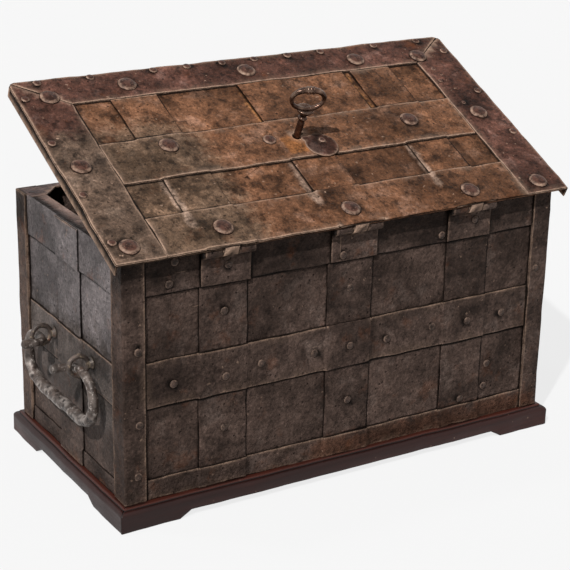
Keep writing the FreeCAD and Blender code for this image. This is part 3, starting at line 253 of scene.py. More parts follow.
def node(tree, kind, settings=None, values=None, output=0):
    """Adds a shader node, sets its settings, then sets or links its sockets, and gives one of its outputs."""
    made = tree.nodes.new("ShaderNode" + kind)
    for key, value in (settings or {}).items():
        setattr(made, key, value)
    for key, value in (values or {}).items():
        socket = made.inputs[key]
        if isinstance(value, Signal):
            tree.links.new(value.socket, socket)
        elif hasattr(socket.default_value, "__len__") and len(value) == 3 and len(socket.default_value) == 4:
            socket.default_value = (*value, 1.0)
        else:
            socket.default_value = value
    return Signal(tree, made.outputs[output])


class Finish:
    """A material under construction: its nodes, its base colour and the patterns that its masks use."""

    def __init__(self, name, flat=False):
        self.material = bpy.data.materials.new(name)
        self.material.use_nodes = True
        self.tree = self.material.node_tree
        self.tree.nodes.clear()
        self.base = None
        self.place = node(self.tree, "TexCoord", output="Object")
        if flat:
            shut = node(self.tree, "VectorMath", {"operation": "SUBTRACT"}, {0: self.place, 1: tuple(HINGE_PIVOT)})
            self.place = node(self.tree, "VectorRotate", {"rotation_type": "X_AXIS"},
                              {"Vector": shut, "Angle": -LID_OPEN})
        self.parts = [node(self.tree, "SeparateXYZ", {}, {0: self.place}, output=i) for i in range(3)]

    def attribute(self, name):
        """A value kept on the mesh's points."""
        return node(self.tree, "Attribute", {"attribute_name": name}, output="Fac")

    def noise(self, size, detail=2.0, roughness=0.5, shift=0.0, stretch=(1, 1, 1)):
        """Cloudy noise whose features have a given size in metres."""
        place = self.place
        if stretch != (1, 1, 1) or shift:
            place = node(self.tree, "Mapping", {},
                         {"Vector": place, "Scale": stretch, "Location": (shift, shift * 0.7, shift * 1.3)})
        return node(self.tree, "TexNoise", {},
                    {"Vector": place, "Scale": 1 / size, "Detail": detail, "Roughness": roughness})

    def cells(self, size, shift=0.0):
        """Distance to the nearest of scattered points, for pits and specks."""
        place = node(self.tree, "Mapping", {}, {"Vector": self.place, "Location": (shift, shift, shift)})
        return node(self.tree, "TexVoronoi", {}, {"Vector": place, "Scale": 1 / size})

    def mix(self, factor, first, second):
        """Two colours mixed."""
        return node(self.tree, "Mix", {"data_type": "RGBA"}, {0: factor, 6: first, 7: second}, output=2)

    def lay(self, factor, tone):
        """Lays another colour over the base."""
        self.base = self.mix(factor, self.base, tone)

    def bump(self, height, depth):
        """A normal from heights, which are shares of a depth in metres."""
        return node(self.tree, "Bump", {}, {"Strength": 1.0, "Distance": depth, "Height": height})

    def patch(self, low, high, soft):
        """One inside a box given by its corners in the material's own place, and nothing outside."""
        mask = 1.0
        for part, least, most in zip(self.parts, low, high):
            if least is not None:
                mask = part.between(least - soft, least + soft) * part.between(most + soft, most - soft) * mask
        return mask

    def done(self, roughness, metallic, normal=None, specular=0.5):
        """Links the shader and gives the material."""
        values = {"Base Color": self.base, "Roughness": roughness, "Metallic": metallic,
                  "Specular IOR Level": specular}
        if normal is not None:
            values["Normal"] = normal
        shader = node(self.tree, "BsdfPrincipled", {}, values)
        output = self.tree.nodes.new("ShaderNodeOutputMaterial")
        self.tree.links.new(shader.socket, output.inputs["Surface"])
        return self.material


def shade(tint, factor):
    """A colour made darker or lighter."""
    return tuple(min(1.0, channel * factor) for channel in tint)


def iron(name, tint, flat=False, rust=0.25, wear_and_highlight=1.0, mottle=1.0, gloss=0.45, patches=(), shift=0.0, chips=0.3,
         highlight_halo=0.3):
    """Hammered iron: mottled patina, specks, pits, scratches, rust, worn edges with painted highlight and a painted
    halo, and painted shade in the seams.

    Each patch gives two corners in the material's place, softness, colour and strength.
    """
    finish = Finish(name, flat)
    tones = colours()
    broad = finish.noise(0.11, 4.0, 0.6, shift)
    cloud = finish.noise(0.04, 6.0, 0.68, shift + 11.3)
    middle = finish.noise(0.015, 6.0, 0.68, shift + 3.1)
    fine = finish.noise(0.0038, 5.0, 0.7, shift + 7.7)
    grey = tuple(0.75 * part + 0.25 * other for part, other in zip(shade(tint, 1.1), GREY_PATINA))
    finish.base = finish.mix(cloud.between(0.47, 0.36) * 0.7 * mottle, tint, grey)
    for low, high, soft, tone, strength in patches:
        ragged = (middle - 0.5) * 1.3 + (cloud - 0.5) * 0.9 + finish.patch(low, high, soft)
        finish.lay(ragged.between(0.25, 0.85) * strength, tone)
    level = broad.between(0.36, 0.64) * 0.8 + 0.6
    level = level * (1 - cloud.between(0.50, 0.64) * 0.55 * mottle) * (cloud.between(0.46, 0.36) * 0.3 * mottle + 1)
    level = level * (1 - middle.between(0.48, 0.37) * 0.6 * mottle) * (middle.between(0.51, 0.62) * 0.5 * mottle + 1)
    level = level * (1 - fine.between(0.47, 0.37) * 0.4) * (fine.between(0.52, 0.62) * 0.45 + 1)
    finish.base = node(finish.tree, "VectorMath", {"operation": "SCALE"}, {0: finish.base, "Scale": level})
    pits = finish.cells(0.009, shift).between(0.2, 0.08) * middle.between(0.46, 0.56)
    finish.lay(pits * 0.8, tones.dirt_and_shade)
    reddish = finish.noise(0.05, 6.0, 0.7, shift + 23.0)
    finish.lay(reddish.between(0.56, 0.68) * rust, tones.rust)
    line = finish.noise(0.005, 2.0, 0.5, shift + 31.0, (1.0, 0.06, 0.06))
    cross = finish.noise(0.005, 2.0, 0.5, shift + 37.0, (0.06, 1.0, 1.0))
    scratch = (line.between(0.74, 0.78) + cross.between(0.76, 0.80)).clamped() * broad.between(0.45, 0.55)
    finish.lay(scratch * 0.4, tones.worn_and_lit_iron)
    # Painted highlight: a patchy pale halo beside the bright edges
    glow = finish.attribute("highlight_halo") * cloud.between(0.46, 0.60) * (fine * 1.6 - 0.1)
    finish.lay((glow * highlight_halo).clamped(), shade(tones.worn_and_lit_iron, 0.8))
    flakes = finish.noise(0.0065, 2.0, 0.5, shift + 2.0).between(0.70, 0.74) * cloud.between(0.44, 0.54)
    finish.lay(flakes * chips, shade(tones.worn_and_lit_iron, 1.1))
    # Worn edges, brighter on the sides facing the key light: wear and painted highlight
    worn_and_lit = finish.attribute("wear_and_highlight") * (middle * 3.6 + fine * 1.2 - (1.35 if flat else 1.5)).clamped()
    finish.lay((worn_and_lit * wear_and_highlight).clamped(), shade(tones.worn_and_lit_iron, 1.45 if flat else 1.05))
    # Painted shade beside and under other plates
    painted_shade = (finish.attribute("painted_shade") * 1.6 - fine * 0.3).clamped()
    finish.lay(painted_shade * 0.94, tones.dirt_and_shade)
    roughness = (fine * 0.45 + middle * 0.4 + (0.30 - gloss * 0.5)).clamped()
    relief = middle * 0.8 + fine * 0.24 + cloud * 3.0 - pits * 0.35 - scratch * 0.05
    normal = finish.bump(relief, 0.0030)
    return finish.done(roughness, 0.0, normal, 0.035)


def knuckle_shade_lines():
    """Patches that paint shade as dark lines where the hinges' knuckles meet."""
    ends = [x + side for x in HINGE_PLACES for side in (-KNUCKLE_HALF, KNUCKLE_HALF)]
    return [((x - KNUCKLE_GAP, None, KNUCKLE_LOW), (x + KNUCKLE_GAP, None, 1.0), 0.0004, colours().dirt_and_shade, 1.0)
            for x in ends]


def end_sheen_patches():
    """Where the ends get a painted grey sheen above, and are darker and browner towards the bottom."""
    tones = colours()
    above = ((None, None, 0.20), (None, None, 0.50), 0.06, END_SHEEN_GREY, 0.75)
    below = ((None, None, -0.1), (None, None, 0.11), 0.05, shade(tones.side_iron, 0.85), 0.75)
    return above, below


def rivet_iron(name, tint, flat=False, ring=0.8, shift=0.0):
    """A rivet head: dark hammered crown, a bright ring of wear and painted highlight, and painted shade at the plate.
    """
    finish = Finish(name, flat)
    tones = colours()
    middle = finish.noise(0.006, 4.0, 0.6, shift)
    fine = finish.noise(0.0018, 4.0, 0.6, shift + 4.0)
    out = finish.attribute("ring")
    finish.base = finish.mix(middle.between(0.38, 0.62), shade(tint, 0.4), shade(tint, 1.2))
    finish.lay(fine.between(0.55, 0.7) * 0.3, tones.worn_and_lit_iron)
    # Bright ring: worn metal and a painted highlight round the head's edge; dark rim: painted shade at the plate
    band = out.between(0.60, 0.80) * out.between(0.99, 0.88)
    finish.lay((band * ring * (middle * 3.6 - 1.2)).clamped(), tones.worn_and_lit_iron)
    finish.lay(out.between(0.90, 1.0) * 0.9, tones.dirt_and_shade)
    roughness = (fine * 0.35 + middle * 0.2 + 0.12).clamped()
    normal = finish.bump(middle * 0.7 + fine * 0.25, 0.0011)
    return finish.done(roughness, 0.04, normal, 0.1)


def forged_steel(name, tint, highlight, pitting, rust, gloss, shift=0.0, metal=0.3, mottle=0.7):
    """Forged steel of the handles, their eyes and the key, with painted highlights and painted shade."""
    finish = Finish(name)
    tones = colours()
    broad = finish.noise(0.02, 4.0, 0.6, shift)
    lumps = finish.noise(0.0048, 4.0, 0.62, shift + 2.0)
    fine = finish.noise(0.0014, 4.0, 0.6, shift + 5.0)
    finish.base = finish.mix(broad.between(0.38, 0.64), shade(tint, 0.6), shade(tint, 1.3))
    # Painted highlight on the raised lumps, and painted shade in the low ones
    finish.lay(lumps.between(0.54, 0.68) * mottle, highlight)
    finish.lay(lumps.between(0.44, 0.3) * mottle, tones.dirt_and_shade)
    finish.lay(finish.noise(0.012, 5.0, 0.7, shift + 9.0).between(0.58, 0.72) * rust, tones.rust)
    # Painted highlight along bright edges and spots, and painted shade in corners
    finish.lay(finish.attribute("wear_and_highlight") * 0.5, highlight)
    finish.lay(finish.attribute("painted_shade") * 0.85, tones.dirt_and_shade)
    roughness = (fine * 0.35 + (0.55 - gloss * 0.5)).clamped()
    normal = finish.bump(lumps * pitting + fine * 0.2, 0.001)
    return finish.done(roughness, metal, normal, 0.4)


def plinth_paint(name):
    """Dark stained wood with fine grain along the boards and a worn redder top edge."""
    finish = Finish(name)
    tones = colours()
    across = finish.noise(0.05, 4.0, 0.6, 0.0, (0.12, 0.12, 1.6))
    grain = finish.noise(0.006, 5.0, 0.65, 2.0, (0.12, 0.12, 1.0))
    fine = finish.noise(0.0015, 3.0, 0.6, 5.0)
    finish.base = finish.mix(across.between(0.35, 0.65), shade(tones.plinth_wood, 0.55), shade(tones.plinth_wood, 1.35))
    finish.lay(grain.between(0.45, 0.7) * 0.5, shade(tones.plinth_wood, 0.35))
    top = finish.parts[2].between(0.0262, 0.0276)
    red = (top * (grain * 0.9 + across * 0.7) * 0.3).clamped()
    finish.lay(red, tones.plinth_worn)
    worn_and_lit = finish.attribute("wear_and_highlight") * top * (fine * 0.8 + across * 1.4 - 0.2)
    finish.lay((worn_and_lit * 0.8).clamped(), tones.plinth_worn)
    chips = finish.cells(0.011, 3.0).between(0.14, 0.04) * across.between(0.45, 0.6)
    finish.lay(chips * 0.6, shade(tones.worn_and_lit_iron, 0.8))
    # Painted shade in the corners
    finish.lay(finish.attribute("painted_shade") * 0.8, tones.dirt_and_shade)
    roughness = (grain * 0.25 + fine * 0.2 + 0.2).clamped()
    normal = finish.bump(grain * 0.5 + fine * 0.12 - chips * 0.4, 0.0008)
    return finish.done(roughness, 0.0, normal, 0.25)


def filed_steel(name):
    """Oiled steel of the lock, with file marks and brown stains."""
    finish = Finish(name, flat=True)
    tones = colours()
    file_marks = finish.noise(0.0022, 3.0, 0.7, 0.0, (0.08, 1.0, 1.0))
    stain = finish.noise(0.03, 5.0, 0.65, 4.0)
    fine = finish.noise(0.0016, 3.0, 0.6, 8.0)
    finish.base = finish.mix(file_marks.between(0.35, 0.7), shade(tones.lock_steel, 0.7), shade(tones.lock_steel, 1.15))
    finish.lay(stain.between(0.48, 0.7) * 0.7, shade(tones.rust, 0.5))
    # Edges lightened by wear and painted highlight, and painted shade in the corners
    finish.lay(finish.attribute("wear_and_highlight") * 0.5, shade(tones.lock_steel, 1.5))
    finish.lay(finish.attribute("painted_shade") * 0.8, tones.dirt_and_shade)
    roughness = (file_marks * 0.2 + stain * 0.3 + 0.15).clamped()
    normal = finish.bump(file_marks * 0.5 + fine * 0.2, 0.0005)
    return finish.done(roughness, 0.8, normal)


# Meshes

def mesh_of(name, bm):
    """A mesh made from a bmesh, which is freed."""
    mesh = bpy.data.meshes.new(name)
    bm.to_mesh(mesh)
    bm.free()
    return mesh


def added(name, data):
    """A new object in the scene."""
    made = bpy.data.objects.new(name, data)
    bpy.context.scene.collection.objects.link(made)
    return made


def merged_copy(name, flat=False):
    """A CAD node's mesh as a bmesh, with its doubled points merged, and laid flat with the shut lid if asked."""
    bm = bmesh.new()
    bm.from_mesh(NODES[name].data)
    bmesh.ops.remove_doubles(bm, verts=bm.verts, dist=MERGE_DISTANCE)
    if flat:
        bm.transform(LID_SHUT)
    return bm


def on_lid(name):
    """Whether a node is carried by the lid."""
    return NODES[name]["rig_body"] not in ("chest", "left_handle", "right_handle")


def islands(bm):
    """The points of a bmesh, in connected groups."""
    left, groups = set(bm.verts), []
    while left:
        queue = [left.pop()]
        group = []
        while queue:
            vert = queue.pop()
            group.append(vert)
            for edge in vert.link_edges:
                other = edge.other_vert(vert)
                if other in left:
                    left.discard(other)
                    queue.append(other)
        groups.append(group)
    groups.sort(key=lambda group: tuple(round(v, 4) for v in sum((x.co for x in group), Vector()) / len(group)))
    return groups


def seam_places(names, flat):
    """Where other pieces' edges lie along each axis, for cuts close beside them."""
    found = [set(), set(), set()]
    for name in names:
        bm = merged_copy(name, flat)
        for group in islands(bm):
            for axis in range(3):
                line = [vert.co[axis] for vert in group]
                found[axis].update((round(min(line), 4), round(max(line), 4)))
        bm.free()
    return found


def sharp_edges(bm):
    """Outward edges between faces that turn sharply."""
    return [e for e in bm.edges if e.is_manifold and e.is_convex and e.calc_face_angle() > SHARP_ANGLE]


def open_edges(edges, solid, back):
    """The edges that no other piece covers on either side."""
    shown = {}
    for edge in edges:
        for face in edge.link_faces:
            if face not in shown:
                start = back @ (face.calc_center_median() + face.normal * COVER_START)
                shown[face] = solid.ray_cast(start, back.to_3x3() @ face.normal, COVER_REACH)[3] is None
    return [e for e in edges if all(shown[face] for face in e.link_faces)]


def cut_all(bm, places, step):
    """Cuts the mesh with level planes: a regular grid, and the places given for each axis."""
    for axis in range(3):
        line = [vert.co[axis] for vert in bm.verts]
        low, high = min(line), max(line)
        if high - low < 2 * step:
            continue
        count = int((high - low) / step)
        wanted = {low + (high - low) * (i + 1) / (count + 1) for i in range(count)}
        for place in places[axis]:
            wanted.update(place + beside for beside in CUTS_BESIDE_SEAM)
        normal = Vector([1.0 if i == axis else 0.0 for i in range(3)])
        last = low
        for value in sorted(wanted):
            if value - last < FINEST_CUT or high - value < FINEST_CUT:
                continue
            last = value
            geometry = bm.verts[:] + bm.edges[:] + bm.faces[:]
            bmesh.ops.bisect_plane(bm, geom=geometry, dist=MERGE_DISTANCE, plane_co=normal * value, plane_no=normal)


def edge_tree(edges):
    """A search tree of points along edges."""
    points = []
    for edge in edges:
        start, end = (vert.co for vert in edge.verts)
        pieces = max(1, int((end - start).length / RIDGE_STEP))
        points += [start.lerp(end, i / pieces) for i in range(pieces + 1)]
    tree = KDTree(len(points))
    for i, point in enumerate(points):
        tree.insert(point, i)
    tree.balance()
    return tree


@functools.cache
def neighbours_tree(body):
    """A search tree of the CAD faces of a body's nodes."""
    corners, faces = [], []
    for cad in NODES.values():
        if cad["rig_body"] == body:
            first = len(corners)
            corners += [vert.co.copy() for vert in cad.data.vertices]
            faces += [[first + i for i in face.vertices] for face in cad.data.polygons]
    return BVHTree.FromPolygons(corners, faces)


def corner_shade(point, normal, tree, reach):
    """How far a point lies in a corner between pieces, for the painted shade: nothing in the open, one deep inside."""
    side = normal.orthogonal().normalized()
    other = normal.cross(side)
    start = point + normal * RAY_START
    found = 0.0
    for i in range(RAY_COUNT):
        turn = math.tau * i / RAY_COUNT
        ray = (side * math.cos(turn) + other * math.sin(turn)) * RAY_ALONG + normal * RAY_OUT
        distance = tree.ray_cast(start, ray, reach)[3]
        if distance is not None:
            # Rays towards the key light, up and left, count more: painted shade lies below and right of pieces.
            found += (1.0 - distance / reach) * max(0.1, 1.0 + 1.2 * ray.z - 0.6 * ray.x)
    return min(1.0, found / 3.0)


# Unless it is seeded, noise_vector takes its shifts from the clock. Each run has to give the same chest.
noise.seed_set(1)


def field(point, pitch, seed):
    """A smooth random vector that changes over a given distance."""
    return noise.noise_vector(point / pitch + Vector((seed, seed * 1.7, seed * 0.3)))


def swell(point, pitch, seed=0.0, axis=0):
    """A smooth random height that changes over a given distance."""
    shift = Vector()
    shift[axis] = seed
    return noise.noise(point / pitch + shift)


def freedom(point, flat):
    """How freely a point may move: hardly at all round the keyhole and where the shut lid and the chest meet."""
    if flat:
        below = point.z < HINGE_PIVOT.z + LID_UNDERSIDE
        return HELD_BACK if below or (point - KEY_BASE).to_2d().length < KEYHOLE_REACH else 1.0
    return 1.0 - (1.0 - HELD_BACK) * min(1.0, max(0.0, (point.z - MEETING_START) / MEETING_FADE))


def worn_and_lit_share(lean, flat):
    """How bright an edge is made by wear and painted highlight: more on the left, and more towards the hinges on the
    lid or upwards on the chest, the sides that face the key light.
    """
    share = 0.75 - 0.35 * lean.x + (-0.25 * lean.y if flat else 0.5 * lean.z)
    return min(MOST_WORN_AND_LIT, max(LEAST_WORN_AND_LIT, share))


def worked(name, cad, material, seams=(), step=None, deep=1.0, waver=1.0, round_by=1.0, seed=0.0, curved=False,
           wear_and_highlight_by=1.0):
    """Makes a hammered piece from a CAD node: round edges, uneven faces, wear and painted highlight, painted shade."""
    size = sizes()
    flat = on_lid(cad)
    bm = merged_copy(cad, flat)
    if not curved:
        bmesh.ops.dissolve_limit(bm, angle_limit=FLAT_ANGLE, verts=bm.verts, edges=bm.edges)
    back = LID_BACK if flat else Matrix.Identity(4)
    solid = neighbours_tree(NODES[cad]["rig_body"])
    sharp = open_edges(sharp_edges(bm), solid, back)
    tree = edge_tree(sharp)
    if sharp and round_by and not curved:
        bmesh.ops.bevel(bm, geom=sharp, offset=size.edge_round * round_by, offset_type="OFFSET", segments=2,
                        profile=0.5, affect="EDGES", clamp_overlap=False, material=-1)
    cut_all(bm, seam_places((*seams, cad), flat), step or size.mesh_step)
    bmesh.ops.triangulate(bm, faces=bm.faces)
    bm.normal_update()
    spans = [max(v.co[i] for v in bm.verts) - min(v.co[i] for v in bm.verts) for i in range(3)]
    thin = spans.index(min(spans))
    moves = []
    for vert in bm.verts:
        large = swell(vert.co, size.hammer_pitch, seed) * LARGE_HEIGHT
        small = swell(vert.co, size.hammer_pitch * SMALL_MARKS, seed, 1) * SMALL_HEIGHT
        lift = (large + small) * size.hammer_depth * deep
        stray = field(vert.co, STRAY_PITCH, seed + 5.0) + field(vert.co, FINE_STRAY_PITCH, seed + 9.0) * FINE_STRAY
        stray *= size.edge_waver * waver
        stray[thin] = 0.0
        moves.append((vert.normal * lift + stray) * freedom(vert.co, flat))
    wear_and_highlight, highlight_halo, painted_shade = [], [], []
    for vert, move in zip(bm.verts, moves):
        nearest, _, distance = tree.find(vert.co) if sharp else (vert.co, 0, 1.0)
        lean = (nearest - vert.co) / (distance + 0.0005) + vert.normal * 0.7
        # Bright edges of wear and painted highlight, a painted halo beside them, and painted shade in corners
        wear_and_highlight.append(worn_and_lit_share(lean, flat) * math.exp(-(distance / (size.wear_and_highlight_width * wear_and_highlight_by)) ** 2))
        highlight_halo.append(math.exp(-(distance / (size.wear_and_highlight_width * wear_and_highlight_by * HALO_WIDTH)) ** 2))
        painted_shade.append(corner_shade(back @ vert.co, back.to_3x3() @ vert.normal, solid, size.shade_width))
        vert.co += move
    return placed(name, bm, material, cad, {"wear_and_highlight": wear_and_highlight, "highlight_halo": highlight_halo, "painted_shade": painted_shade}, flat)


def placed(name, bm, material, cad, attributes, flat=False):
    """Turns a bmesh, swung back from the shut lid if it is flat, into a piece that rides in a CAD node's place."""
    if flat:
        bm.transform(LID_BACK)
    for face in bm.faces:
        face.smooth = True
    mesh = mesh_of(name, bm)
    for key, values in attributes.items():
        mesh.attributes.new(key, "FLOAT", "POINT").data.foreach_set("value", values)
    mesh.set_sharp_from_angle(angle=SHADED_ANGLE)
    mesh.materials.append(material)
    piece = added(name, mesh)
    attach(piece, NODES[cad]["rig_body"])
    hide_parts(cad)
    return piece


def rivet_heads(name, cad, material, dent, seed, spread=1.0, rise=1.0):
    """Rivet heads with a hand-beaten crown, and their distance from the middle for the bright ring of wear and
    painted highlight.
    """
    flat = on_lid(cad)
    bm = merged_copy(cad, flat)
    ring = {}
    for group in islands(bm):
        low = Vector([min(v.co[i] for v in group) for i in range(3)])
        high = Vector([max(v.co[i] for v in group) for i in range(3)])
        span = high - low
        thin = min(range(3), key=lambda i: span[i])
        middle = (low + high) / 2
        outside = 1.0 if flat or middle[thin] > 0 else -1.0
        seat = low[thin] if outside > 0 else high[thin]
        for vert in group:
            away = vert.co - middle
            away[thin] = 0.0
            ring[vert] = min(1.0, 2 * away.length / max(span))
            height = (vert.co[thin] - seat) * rise
            vert.co = middle + away * spread
            vert.co[thin] = seat + height
    bm.normal_update()
    for vert in bm.verts:
        vert.co += vert.normal * swell(vert.co, 0.006, seed) * dent * (1.0 - ring[vert] * 0.5)
        vert.co += field(vert.co, 0.012, seed) * dent * 0.4
    return placed(name, bm, material, cad, {"ring": [ring[vert] for vert in bm.verts]}, flat)


def forged_round(name, cad, material, rough, pitch, seed):
    """A round forged piece: the CAD form with a beaten, pitted surface."""
    size = sizes()
    bm = merged_copy(cad)
    bm.normal_update()
    sharp = sharp_edges(bm)
    tree = edge_tree(sharp)
    solid = neighbours_tree(NODES[cad]["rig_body"])
    moves, wear_and_highlight, painted_shade = [], [], []
    for vert in bm.verts:
        lump = swell(vert.co, pitch, seed) * 0.7 + swell(vert.co, pitch * 0.4, seed, 1) * 0.4
        moves.append(vert.normal * lump * rough)
        # Bright edges with painted highlight, and painted shade in corners
        wear_and_highlight.append(math.exp(-(tree.find(vert.co)[2] / size.wear_and_highlight_width) ** 2) if sharp else 0.0)
        painted_shade.append(corner_shade(vert.co, vert.normal, solid, size.shade_width))
    for vert, move in zip(bm.verts, moves):
        vert.co += move
    return placed(name, bm, material, cad, {"wear_and_highlight": wear_and_highlight, "painted_shade": painted_shade})


HANDLE_CENTRE = Vector((0.315, -0.008, 0.1703))
# Stations along half of the handle's rod: how far out, along and up from its centre, and the rod's radius
# there, in millimetres. The other half mirrors them.
HANDLE_STATIONS = (
    (30.5, -42.0, 0.7, 2.2), (28.6, -42.0, 0.6, 5.2), (24.5, -42.0, 0.4, 5.6), (18.0, -42.0, 0.2, 4.7),
    (11.0, -42.2, 0.0, 4.6), (3.5, -45.0, 0.0, 4.5), (0.0, -53.0, 0.0, 4.6), (0.0, -66.0, -0.5, 5.0),
    (0.0, -80.0, -4.0, 5.6), (0.0, -90.0, -13.5, 5.8), (0.0, -93.5, -29.0, 6.1), (0.0, -89.0, -46.0, 6.6),
    (0.0, -77.0, -57.5, 7.0), (0.0, -60.0, -61.0, 7.3), (0.0, -38.0, -61.5, 7.6), (0.0, -13.0, -62.0, 7.2),
)
# The grip, from its rough low part to the smooth arms: where the roughness fades, and over what height.
GRIP_LOW = 0.052
GRIP_FADE = 0.03
PIT_PITCH = 0.0085
PIT_RADIUS = 0.42


def rod_mesh(stations, sides, cyclic=False, steps=14):
    """A round rod through stations of place and radius, made from a curve."""
    curve = bpy.data.curves.new("rod", "CURVE")
    curve.dimensions = "3D"
    curve.bevel_depth = MILLIMETRE
    curve.bevel_resolution = sides
    curve.resolution_u = steps
    curve.use_fill_caps = not cyclic
    spline = curve.splines.new("BEZIER")
    spline.bezier_points.add(len(stations) - 1)
    spline.use_cyclic_u = cyclic
    for point, (place, radius) in zip(spline.bezier_points, stations):
        point.co = place
        point.radius = radius
        point.handle_left_type = point.handle_right_type = "AUTO"
    rod = bpy.data.objects.new("rod", curve)
    mesh = bpy.data.meshes.new_from_object(rod)
    bm = bmesh.new()
    bm.from_mesh(mesh)
    bmesh.ops.remove_doubles(bm, verts=bm.verts, dist=ROD_MERGE)
    bpy.data.objects.remove(rod)
    bpy.data.curves.remove(curve)
    bpy.data.meshes.remove(mesh)
    bmesh.ops.recalc_face_normals(bm, faces=bm.faces)
    return bm


def pitted(point):
    """Depth of scattered pits: nothing between them, one in their middle."""
    distance = noise.voronoi(point / PIT_PITCH)[0][0]
    return max(0.0, 1.0 - distance / PIT_RADIUS)


def drop_handle(side, material, seed):
    """A drop handle: a beaten rod that swells into a rough, pitted grip."""
    sign = -1.0 if side == "left" else 1.0
    half = [(Vector((sign * out, along, up)) * MILLIMETRE, radius) for out, along, up, radius in HANDLE_STATIONS]
    other = [(Vector((place.x, -place.y, place.z)), radius) for place, radius in reversed(half)]
    centre = Vector((sign * HANDLE_CENTRE.x, HANDLE_CENTRE.y, HANDLE_CENTRE.z))
    bm = rod_mesh([(place + centre, radius) for place, radius in half + other], 12)
    bm.normal_update()
    solid = neighbours_tree("chest")
    moves, wear_and_highlight, painted_shade = [], [], []
    for vert in bm.verts:
        low = 1.0 - min(1.0, max(0.0, (vert.co.z - centre.z + GRIP_LOW) / GRIP_FADE))
        lump = swell(vert.co, 0.011, seed) * (0.35 + low)
        lump += swell(vert.co, 0.0045, seed, 1) * (0.12 + 0.55 * low)
        pit = pitted(vert.co + Vector((seed, 0, 0))) * low
        moves.append(vert.normal * (lump - pit * 1.5) * MILLIMETRE)
        # Painted highlight on the raised lumps, and painted shade in the pits and corners
        wear_and_highlight.append(max(0.0, lump * 1.2 - pit))
        painted_shade.append(min(1.0, pit * 1.4 + corner_shade(vert.co, vert.normal, solid, 0.003)))
    for vert, move in zip(bm.verts, moves):
        vert.co += move
    return placed(f"{side}_drop_handle", bm, material, f"{side}_handle", {"wear_and_highlight": wear_and_highlight, "painted_shade": painted_shade})


# The key stands in the shut lid's middle, turned by this angle. Its CAD form is kept up to a cut, in
# millimetres above its base.
KEY_TURNED = math.radians(13)
KEY_BASE = HINGE_PIVOT + Vector((0, 0.156, 0.0068))
KEY_CUT = 27.0
# Turned outline of the key above its shank: radius and height in millimetres.
KEY_OUTLINE = (
    (4.5, 26.0), (3.9, 29.0), (3.7, 31.5), (4.6, 32.4), (5.6, 33.2), (5.9, 34.2), (5.5, 35.2), (4.5, 36.0), (3.9, 36.8),
    (3.9, 37.8), (4.6, 39.0), (6.0, 40.6), (7.8, 42.4), (9.4, 44.2), (10.4, 45.8), (10.9, 47.0), (10.7, 47.9),
    (9.6, 48.3), (7.0, 47.6), (3.5, 47.0), (0.0, 46.8),
)
# Height of the bow's centre, and stations round the bow: across and up from that centre, and the rod's radius
# there, in millimetres.
BOW_CENTRE = 62.0
BOW_STATIONS = (
    (0.0, 13.6, 4.1), (6.5, 13.3, 3.9), (12.5, 11.4, 3.5), (17.6, 7.6, 3.1), (20.6, 1.6, 2.7), (19.6, -4.6, 2.6),
    (15.4, -9.6, 2.7), (9.0, -12.9, 2.9), (0.0, -14.6, 2.6),
)
# Three reeds round the top of the bow: their places across in millimetres, and how far each lies out from the
# rod's middle, its radius and how much it sinks to the sides.
REED_PLACES = (-3.9, 0.0, 3.9)
REED_OUT = 0.0038
REED_RADIUS = 0.0013
REED_SINK = 0.08


